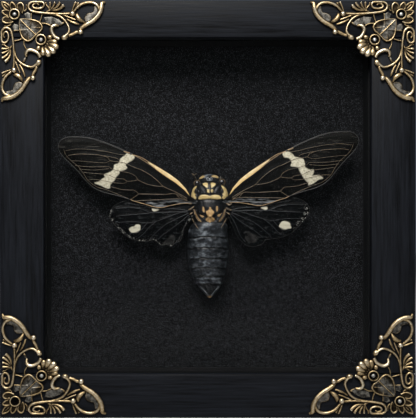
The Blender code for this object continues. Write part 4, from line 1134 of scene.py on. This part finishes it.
def ridge(points, line, width):        # a rounded ridge along a line, 0 to 1
    return np.exp(-((distanceTo(points, smoothLine(line, len(line) * 6)) / width) ** 2))


def carve(flat, cuts):        # each cut is its depth, its width and its line
    return sum(depth * ridge(flat, line, width) for depth, width, line in cuts)


def finishShell(piece, local, bloomAndPaintedLight=0.0, low=0.0):
    placeBody(piece, local)
    flat = local[:, [0, 2]]
    front = smoothStep(-local[:, 1], -0.4, 0.4)
    for key, loops in marks.items():
        writeField(piece, key, np.max([patchMask(flat, loop, 0.13) for loop in loops], axis=0) * front)
    writeField(piece, "bloomAndPaintedLight", bloomAndPaintedLight + np.zeros(len(flat)))
    writeField(piece, "low", low + np.zeros(len(flat)))
    bodyParts.append(piece)


bodyParts = []

# head
headRows = [(12.9, 0, 0, 0), (12.75, 1.4, 1.2, 1.4), (12.3, 2.9, 2.2, 2.4), (11.5, 4.1, 2.9, 3.2),
    (10.4, 4.7, 3.3, 3.9), (9.2, 4.9, 3.5, 4.2), (8.0, 4.8, 3.6, 4.3), (7.0, 4.6, 3.4, 4.2), (6.6, 0, 0, 0)]
head, local = makeShell("head", headRows, 92, 84)
flat = local[:, [0, 2]]
front = local[:, 1] < 0
lift = 0.35 * np.exp(-((flat[:, 0] / 1.5) ** 2 + ((flat[:, 1] - 10.8) / 0.9) ** 2))
lift -= carve(flat, (
    (0.3, 0.28, [(-4.4, 10.4), (-2.4, 10.7), (-1.6, 11.7)]),
    (0.3, 0.28, [(4.2, 10.4), (2.3, 10.7), (1.5, 11.7)]),
    (0.35, 0.25, [(-4.8, 9.2), (-2, 9.4), (0, 9.3), (2, 9.4), (4.8, 9.5)])))
local[front, 1] -= lift[front]
finishShell(head, local, 0.75 * smoothStep(flat[:, 1], 10.6, 11.6) * smoothStep(-local[:, 1], 0, 0.8))

# front shield, the pronotum
neckRows = [(9.3, 0, 0, 0), (9.25, 3.4, 3.1, 2.0), (8.8, 5.3, 3.9, 3.4), (7.9, 6.3, 4.4, 4.2), (6.4, 7.1, 4.9, 4.4),
    (4.9, 7.5, 5.1, 4.5), (3.6, 7.7, 5.2, 4.5), (2.7, 7.45, 5.1, 4.4), (2.3, 6.9, 4.7, 4.1), (2.2, 5.4, 3.9, 3.4),
    (2.2, 0, 0, 0)]
neck, local = makeShell("neck", neckRows, 124, 104, 0.93)
flat = local[:, [0, 2]]
front = local[:, 1] < 0
dip = carve(flat, (
    (0.45, 0.3, [(-3.9, 8.6), (-2.6, 7.2), (-1.6, 5.6), (-1.2, 4.5)]),
    (0.45, 0.3, [(3.9, 8.6), (2.6, 7.2), (1.7, 5.6), (1.3, 4.5)]),
    (0.4, 0.3, [(-5.4, 6.9), (-4.3, 6.0), (-4.4, 4.7)]),
    (0.4, 0.3, [(5.0, 7.1), (4.1, 6.0), (4.3, 4.7)]),
    (0.4, 0.28, [(-4.9, 4.5), (-3, 4.5), (-.2, 4.1), (3, 4.5), (4.7, 4.3)]),
    (0.3, 0.25, [(-5.2, 6.6), (-5.4, 5.0), (-5.0, 3.4)]),
    (0.3, 0.25, [(4.6, 6.6), (4.9, 5.0), (4.8, 3.4)])))
rise = 0.22 * ridge(flat, [(-.15, 8.9), (-.1, 4.6)], 0.4)
local[front, 1] += (dip - rise)[front]
local[:, 2] += np.where(local[:, 2] < 3.0, 0.16 * np.cos(np.clip(local[:, 0] / 6.0, -1, 1) * math.pi), 0)
# painted shade: the furrows' dips go near-black through the low field
finishShell(neck, local, low=np.clip(dip * 1.2, 0, 1))

# mid shield, the mesonotum with its raised cross
shieldRows = [(3.4, 0, 0, 0), (3.3, 4.6, 3.4, 3.0), (2.6, 5.9, 4.4, 3.8), (1.2, 6.5, 5.0, 4.2), (-0.8, 6.6, 5.3, 4.3),
    (-2.6, 6.3, 5.2, 4.3), (-4.2, 5.4, 4.8, 4.2), (-5.4, 4.2, 4.3, 4.1), (-6.5, 3.0, 4.0, 3.9), (-7.6, 1.8, 3.7, 3.6),
    (-8.0, 0, 0, 0)]
shield, local = makeShell("shield", shieldRows, 124, 104, 0.95)
flat = local[:, [0, 2]]
front = local[:, 1] < 0
dip = carve(flat, (
    (0.12, 0.22, [(-3.6, 2.6), (-2.9, 0.4), (-2.2, -1.6), (-1.8, -2.6)]),
    (0.12, 0.22, [(3.6, 2.6), (3.0, 0.4), (2.4, -1.6), (1.9, -2.6)]),
    (0.06, 0.2, [(-1.2, 2.2), (-0.9, 0.6), (-0.5, -0.6)]),
    (0.06, 0.2, [(1.2, 2.2), (1.0, 0.6), (0.6, -0.6)]),
    (0.45, 0.35, [(-5.6, -1.8), (-4.6, -3.3), (-2.6, -4.2), (-1.6, -4.9)]),
    (0.45, 0.35, [(5.6, -1.8), (4.6, -3.2), (2.8, -4.1), (1.7, -4.9)])))
rise = carve(flat, (
    (0.5, 0.55, [(0.1, -3.0), (0.15, -5.2), (0.1, -7.0)]),
    (0.38, 0.4, [(-1.7, -6.6), (0.1, -4.8), (1.9, -6.4)]),
    (0.3, 0.4, [(-1.6, -2.8), (0.1, -4.6), (1.8, -2.6)])))
local[front, 1] += (dip - rise)[front]
# painted shade: the shield's dips go near-black through the low field
finishShell(shield, local, low=np.clip(dip * 1.2, 0, 1))
crossLine = np.exp(-(((flat[:, 1] + 4.85) / 0.16) ** 2)) * (np.abs(flat[:, 0] - 0.1) < 1.2)
writeField(shield, "line", crossLine * front)

# hind part of the thorax, low and dark under the shield
baseRows = [(3.0, 0, 0, 0), (2.8, 5.2, 2.2, 3.4), (1.6, 7.0, 3.0, 4.6), (-1.0, 7.1, 3.4, 4.9), (-4.0, 6.8, 3.5, 4.9),
    (-6.4, 6.6, 3.6, 4.6), (-8.4, 6.4, 3.6, 4.4), (-9.2, 0, 0, 0)]
base, local = makeShell("base", baseRows, 90, 64, 0.9)
flat = local[:, [0, 2]]
front = local[:, 1] < 0
lump = 0.35 * np.sin(flat[:, 0] * 2.1 + 0.7) * np.sin(flat[:, 1] * 1.9)
lump += carve(flat, (
    (0.4, 0.4, [(-6.3, -2.2), (-5.0, -5.0), (-2.6, -7.6)]),
    (0.4, 0.4, [(6.2, -2.0), (5.0, -5.0), (2.6, -7.4)])))
local[front, 1] -= lump[front]
finishShell(base, local)
tanStrips = carve(flat, (
    (1.0, 0.17, [(-6.6, -1.4), (-5.2, -4.6), (-3.6, -6.8)]),
    (1.0, 0.17, [(6.6, -1.2), (5.4, -4.4), (3.8, -6.8)])))
writeField(base, "tan", np.clip(tanStrips, 0, 0.75) * front)

# abdomen, its plates lapping over each other
ringEdges = [-7.4, -12.9, -17.4, -21.7, -25.6, -29.0, -32.3]
outline = np.array([(-6.6, 6.9), (-7.2, 7.55), (-8.6, 7.8), (-10.5, 8.0), (-13, 8.25), (-17.5, 8.45), (-21.8, 8.15),
    (-25.6, 7.55), (-29, 6.7), (-32.3, 5.55)])
abdomenRows = [(-6.6, 0, 0, 0), (-6.7, 6.4, 4.0, 4.2)]
for top, bottom in zip(ringEdges[:-1], ringEdges[1:]):
    for share, grow in ((0.0, -0.50), (0.05, -0.24), (0.16, -0.06), (0.45, 0.0), (0.8, 0.04), (0.95, 0.07),
            (0.985, -0.05), (1.0, -0.42)):
        z = top + (bottom - top) * share
        wide = np.interp(-z, -outline[:, 0], outline[:, 1]) + grow
        abdomenRows.append((z, wide, wide * 0.63, wide * 0.6))
abdomenRows += [(-32.45, 4.9, 3.1, 2.9), (-33.2, 4.5, 2.9, 2.7), (-35.4, 3.1, 2.0, 1.9), (-37.2, 1.35, 0.95, 0.95),
    (-37.9, 0.6, 0.5, 0.5), (-38.1, 0, 0, 0)]
abdomen, local = makeShell("abdomen", abdomenRows, 124, 310, 0.97)
flat = local[:, [0, 2]]
front = local[:, 1] < 0
wave = 0.10 * np.sin(flat[:, 0] * 1.7 + flat[:, 1] * 0.9) + 0.08 * np.sin(flat[:, 0] * 0.9 - flat[:, 1] * 1.6 + 1.3)
local[:, 2] += np.where(local[:, 2] > -32.2, wave * smoothStep(-local[:, 2], 8.5,
    10) - 0.022 * (flat[:, 0] ** 2) * 0.35, 0)
dents = np.sin(flat[:, 0] * 1.3 + 0.4) * np.sin(flat[:, 1] * 1.1) + np.sin(flat[:, 0] * 2.9 + flat[:, 1] * 0.6)
local[front, 1] -= 0.08 * dents[front] * smoothStep(-local[front, 2], 8, 10)
# painted shade in the grooves where the plates lap
grooveShade = np.max([1.5 * np.exp(-(((flat[:, 1] - edge + 0.02) / 0.40) ** 2)) for edge in ringEdges[1:]], axis=0)
# painted highlight along the lapping edge of each plate
lapHighlight = sum(np.exp(-(((flat[:, 1] - edge - 0.60) / 0.22) ** 2)) for edge in ringEdges[1:])
lapHighlight *= np.clip(0.5 + np.sin(flat[:, 0] * 2.7 + 1), 0, 1)
coneRidge = carve(flat, (
    (1.0, 0.3, [(-3.9, -33.4), (-2.2, -35.2), (-0.7, -37.0)]),
    (1.0, 0.3, [(3.9, -33.4), (2.4, -35.2), (0.8, -37.0)])))
local[front, 1] -= 0.25 * coneRidge[front]
local[:, 0] -= 0.75 * smoothStep(-local[:, 2], 7, 11) * (1 - smoothStep(-local[:, 2], 25, 36))
placeBody(abdomen, local)
# painted highlight on the cone's ridges, in the ocelli colour
writeField(abdomen, "ocelliAndRidgeHighlight", 0.8 * np.clip(coneRidge, 0, 1) * (flat[:, 1] < -32.5) * front)
writeField(abdomen, "tan", smoothStep(-flat[:, 1], 36.9, 37.6) * 0.7)
# the abdomen's bloom fades to painted shade towards the sides; lap edges and cone ridges add painted highlight
side = np.exp(-((flat[:, 0] + 0.8) / 4.2) ** 2)
onBack = smoothStep(-flat[:, 1], 6.9, 7.6) * smoothStep(flat[:, 1], -32.6, -32.0)
writeField(abdomen, "bloomAndPaintedLight", np.clip((0.28 + 0.72 * side) * onBack + 0.5 * coneRidge * (flat[:,
    1] < -32.5) + 0.5 * lapHighlight, 0, 1))
writeField(abdomen, "low", np.clip(grooveShade, 0, 1))
bodyParts.append(abdomen)

# legs under the body, the wings' hinges and the forked foot beside the head
legTubes, hingeTubes = [], []
for sign in (-1, 1):
    fore = (-6.9, 3.2, 13.2) if sign < 0 else (4.6, 5.4, 11.8)
    x0 = sign * 2.6
    legs = [
        [(x0, 2.6, 4.5, .75), (sign * 4.2, 5.2, 7.4, .6), (*fore, .42), (sign * 4.4, 5.8, 8.8, .3)],
        [(x0, 2.6, 1.0, .75), (sign * 5.6, 5.2, -0.4, .6), (sign * 8.4, 5.4, -4.2, .42), (sign * 5.2, 6.4, -8.6, .3)],
        [(x0, 2.6, -3.0, .75), (sign * 5.4, 5.2, -5.8, .6), (sign * 6.8, 5.6, -12.0, .42),
            (sign * 3.6, 6.3, -18.5, .3)],
    ]
    for leg in legs:
        run, place = np.linspace(0, 1, 40), np.linspace(0, 1, 4)
        tube = np.column_stack([np.interp(run, place, row) for row in np.array(leg).T])
        tube[:, 3] *= 1 - 0.25 * np.sin(run * math.pi * 3) ** 2
        legTubes.append(tube)


def toWorld(tube):
    return [(bodySet["x"] + x * mm, bodySet["y"] + y * mm, bodySet["z"] + z * mm, r * mm) for x, y, z, r in tube]


def smoothTube(rows, count=24):
    rows = np.array(rows, float)
    ends = np.vstack([2 * rows[0] - rows[1], rows, 2 * rows[-1] - rows[-2]])
    out = []
    for share in np.linspace(0, 1, count):
        at = min(share * (len(rows) - 1), len(rows) - 1 - 1e-6)
        k, f = int(at), at - int(at)
        a, b, c, d = ends[k:k + 4]
        out.append(0.5 * (2 * b + (c - a) * f + (2 * a - 5 * b + 4 * c - d) * f * f + (3 * b - a - 3 * c + d) * f**3))
    return np.array(out)


for rows in (
    [(-7.0, -1.6, 3.4, .45), (-8.0, -2.2, 2.6, .5), (-9.3, -2.5, 2.4, .35)],
    [(-6.6, -1.8, 1.6, .4), (-7.8, -2.4, .8, .55), (-8.9, -2.4, .9, .3)],
    [(-6.4, -1.4, -.4, .4), (-7.6, -2.1, -1.4, .5), (-8.8, -1.9, -1.9, .35)],
    [(-6.6, -1.2, -2.4, .35), (-7.6, -1.8, -3.4, .4), (-8.6, -1.4, -3.8, .3)],
    [(-6.5, -2.4, -1.6, .28), (-5.9, -2.9, -4.4, .26), (-4.4, -3.2, -6.6, .2)],
    [(-7.2, -1.6, -5.4, .2), (-6.2, -3.4, -7.4, .2), (-4.6, -4.6, -9.8, .16)],
    [(7.0, -1.6, 3.2, .45), (8.2, -2.2, 2.2, .5), (9.4, -2.5, 2.4, .35)],
    [(6.6, -1.8, 1.2, .4), (7.9, -2.4, .2, .55), (9.0, -2.4, .7, .3)],
    [(6.4, -1.4, -.8, .4), (7.7, -2.1, -1.6, .5), (8.8, -1.9, -2.0, .35)],
    [(6.6, -1.2, -2.6, .35), (7.7, -1.8, -3.4, .4), (8.6, -1.4, -3.9, .3)],
    [(6.6, -2.4, -1.4, .28), (6.0, -2.9, -4.2, .26), (4.6, -3.2, -6.4, .2)],
    [(6.8, -1.6, -5.4, .2), (5.9, -3.4, -7.2, .2), (4.6, -4.6, -9.2, .16)],
    [(-7.4, 2.6, 13.3, .14), (-6.9, 2.8, 12.9, .2), (-6.4, 2.8, 12.6, .22), (-5.9, 2.8, 12.9, .18),
        (-5.5, 2.6, 13.2, .12)],
):
    hingeTubes.append(smoothTube([(x, y, z, r * 0.68) for x, y, z, r in rows]))

legs = makeTubes("legs", [toWorld(tube) for tube in legTubes], 3)
hinges = makeTubes("hinges", [toWorld(tube) for tube in hingeTubes], 3)
eyes = []
for x, z in ((-5.1, 9.0), (5.0, 9.5)):
    bpy.ops.mesh.primitive_uv_sphere_add(segments=48, ring_count=32, radius=1.0,
        location=(bodySet["x"] + x * mm, bodySet["y"] - 0.9 * mm, bodySet["z"] + z * mm),
        scale=(1.6 * mm, 1.75 * mm, 1.5 * mm))
    eye = applyPlace(bpy.context.object)
    local = readPoints(eye)
    ring = np.hypot(local[:, 0] - bodySet["x"] - x * mm, local[:, 2] - bodySet["z"] - z * mm) / mm
    writeField(eye, "tan", 0.5 * smoothStep(ring, 1.05, 1.2))
    eyes.append(eye)
bumps = []
for x, z, r in ((-0.75, 10.75, 0.36), (0.55, 10.75, 0.36), (-0.1, 11.35, 0.33)):
    bpy.ops.mesh.primitive_uv_sphere_add(segments=24, ring_count=16, radius=1.0,
        location=(bodySet["x"] + x * mm, bodySet["y"] - 3.35 * mm, bodySet["z"] + z * mm),
        scale=(r * mm, r * mm, r * mm))
    bumps.append(applyPlace(bpy.context.object))

chitin, tree, shader = startMaterial("chitin", Roughness=0.4, Specular_IOR_Level=0.36)
grain = noiseOf(tree, 1500, 3.0)
mottle = noiseOf(tree, 430, 4.0, (0.6, 1.0, 1.25), 0.66)
broad = noiseOf(tree, 150, 3.0)
colour = rampOf(tree, mottle, [(0.3, (0.0010, 0.0013, 0.0017)), (0.7, (0.0075, 0.0090, 0.0110))])
patch = rampOf(tree, mottle, [(0.38, (0.004, 0.005, 0.007)), (0.5, (0.028, 0.033, 0.040)),
    (0.66, (0.25, 0.28, 0.305))])
# bloom field: real grey bloom, with painted shade at the abdomen's sides and painted highlight on lap edges and cone
# ridges
bloomAndPaintedLight = mathOf(tree, "MULTIPLY", fieldOf(tree, "bloomAndPaintedLight"), rangeOf(tree, broad, 0.30, 0.62, 0.25, 1.15))
colour = mixOf(tree, bloomAndPaintedLight, colour, patch)
# low field: painted shade, near-black in grooves and furrows
colour = mixOf(tree, fieldOf(tree, "low"), colour, (0.0010, 0.0011, 0.0013))
colour = mixOf(tree, fieldOf(tree, "tan"), colour, rampOf(tree, mottle,
    [(0.3, (0.40, 0.23, 0.085)), (0.7, (0.66, 0.43, 0.20))]))
colour = mixOf(tree, fieldOf(tree, "line"), colour, (0.09, 0.045, 0.015))
colour = mixOf(tree, fieldOf(tree, "head"), colour, (0.46, 0.33, 0.15))
colour = mixOf(tree, fieldOf(tree, "ocelliAndRidgeHighlight"), colour, rampOf(tree, grain,
    [(0.35, (0.05, 0.06, 0.07)), (0.65, (0.30, 0.32, 0.33))]))
colour = mixOf(tree, fieldOf(tree, "yellow"), colour, rampOf(tree, mottle,
    [(0.3, (0.52, 0.36, 0.13)), (0.7, (0.90, 0.72, 0.36))]))
feed(tree, shader, "Base Color", colour)
feed(tree, shader, "Roughness", rangeOf(tree, fieldOf(tree, "bloomAndPaintedLight"), 0, 1, 0.42, 0.35))
useBump(tree, shader, mathOf(tree, "ADD", grain, mottle), 0.55, 0.00014)

legTone = makeFlatTone("legTone", (0.010, 0.009, 0.008), (0.05, 0.036, 0.022), 0.4)
hingeTone = makeFlatTone("hingeTone", (0.006, 0.005, 0.004), (0.30, 0.21, 0.125), 0.42, 900)
eyeTone, tree, shader = startMaterial("eyeTone", Roughness=0.14, Coat_Weight=0.4, Coat_Roughness=0.05)
facets = addNode(tree, "ShaderNodeTexVoronoi", {"Vector": addNode(tree, "ShaderNodeTexCoord").outputs["Object"],
    "Scale": 9000.0}).outputs["Distance"]
feed(tree, shader, "Base Color", mixOf(tree, fieldOf(tree, "tan"), (0.006, 0.005, 0.005), (0.26, 0.19, 0.12)))
useBump(tree, shader, facets, 0.1, 0.00002)

parts = [(part, 0) for part in bodyParts] + [(legs, 1), (hinges, 2)] + [(eye, 3) for eye in eyes + bumps]
paintParts(parts, chitin, legTone, hingeTone, eyeTone)
body = joinAs("cicadaBody", *bodyParts, legs, hinges, *eyes, *bumps)
smoothShade(fixNormals(body), 70)
keepPiece(body, "cicada_body", "cicada_body")
paintNode("specimen_pin", steel)
print("body made")


stageSet = {"floor": (0.46, 0.46, 0.46), "world": (0.36, 0.41, 0.50), "worldStrength": 0.16}
bpy.ops.mesh.primitive_plane_add(size=6, location=(0, 0, -0.0002))
floor = bpy.context.object
floor.name = "floor"
floorTone, tree, shader = startMaterial("floorTone", Roughness=0.8)
feed(tree, shader, "Base Color", rampOf(tree, noiseOf(tree, 3, 2.0),
    [(0.2, stageSet["floor"]), (0.8, tuple(c * 1.04 for c in stageSet["floor"]))]))
paintAll(floor, floorTone)

world = bpy.data.worlds.new("studio")
bpy.context.scene.world = world
world.use_nodes = True
backdrop = world.node_tree.nodes["Background"]
backdrop.inputs["Color"].default_value = (*stageSet["world"], 1)
backdrop.inputs["Strength"].default_value = stageSet["worldStrength"]

for name, place, aim, size, power, color in (
    ("keyLight", (-0.06, -0.40, 0.49), (0.0, 0.0, 0.09), 0.26, 4.5, (1.0, 0.985, 0.965)),
    ("backLight", (-0.45, 0.80, 0.60), (0.0, 0.0, 0.08), 0.9, 5.0, (1.0, 0.98, 0.96)),
    ("fillLight", (0.75, -0.7, 0.55), (0.0, 0.0, 0.08), 0.9, 0.9, (0.90, 0.95, 1.0)),
):
    light = bpy.data.lights.new(name, "AREA")
    light.size = size
    light.energy = power
    light.color = color
    lamp = bpy.data.objects.new(name, light)
    bpy.context.scene.collection.objects.link(lamp)
    lamp.location = place
    lamp.rotation_euler = (Vector(aim) - Vector(place)).to_track_quat("-Z", "Y").to_euler()

cameraSet = {"sensor_width": 36, "lens": 96.9, "shift_x": 0.0239, "shift_y": 0.0512, "clip_start": 0.01}
camera = bpy.data.cameras.new("camera")
for key, value in cameraSet.items():
    setattr(camera, key, value)
cameraObject = bpy.data.objects.new("camera", camera)
bpy.context.scene.collection.objects.link(cameraObject)
cameraObject.location = (-0.0038, -0.463, 0.0748)
cameraObject.rotation_euler = (math.radians(90), 0, 0)
bpy.context.scene.camera = cameraObject
bpy.context.scene.view_settings.view_transform = "Standard"
print("stage, light and camera set")
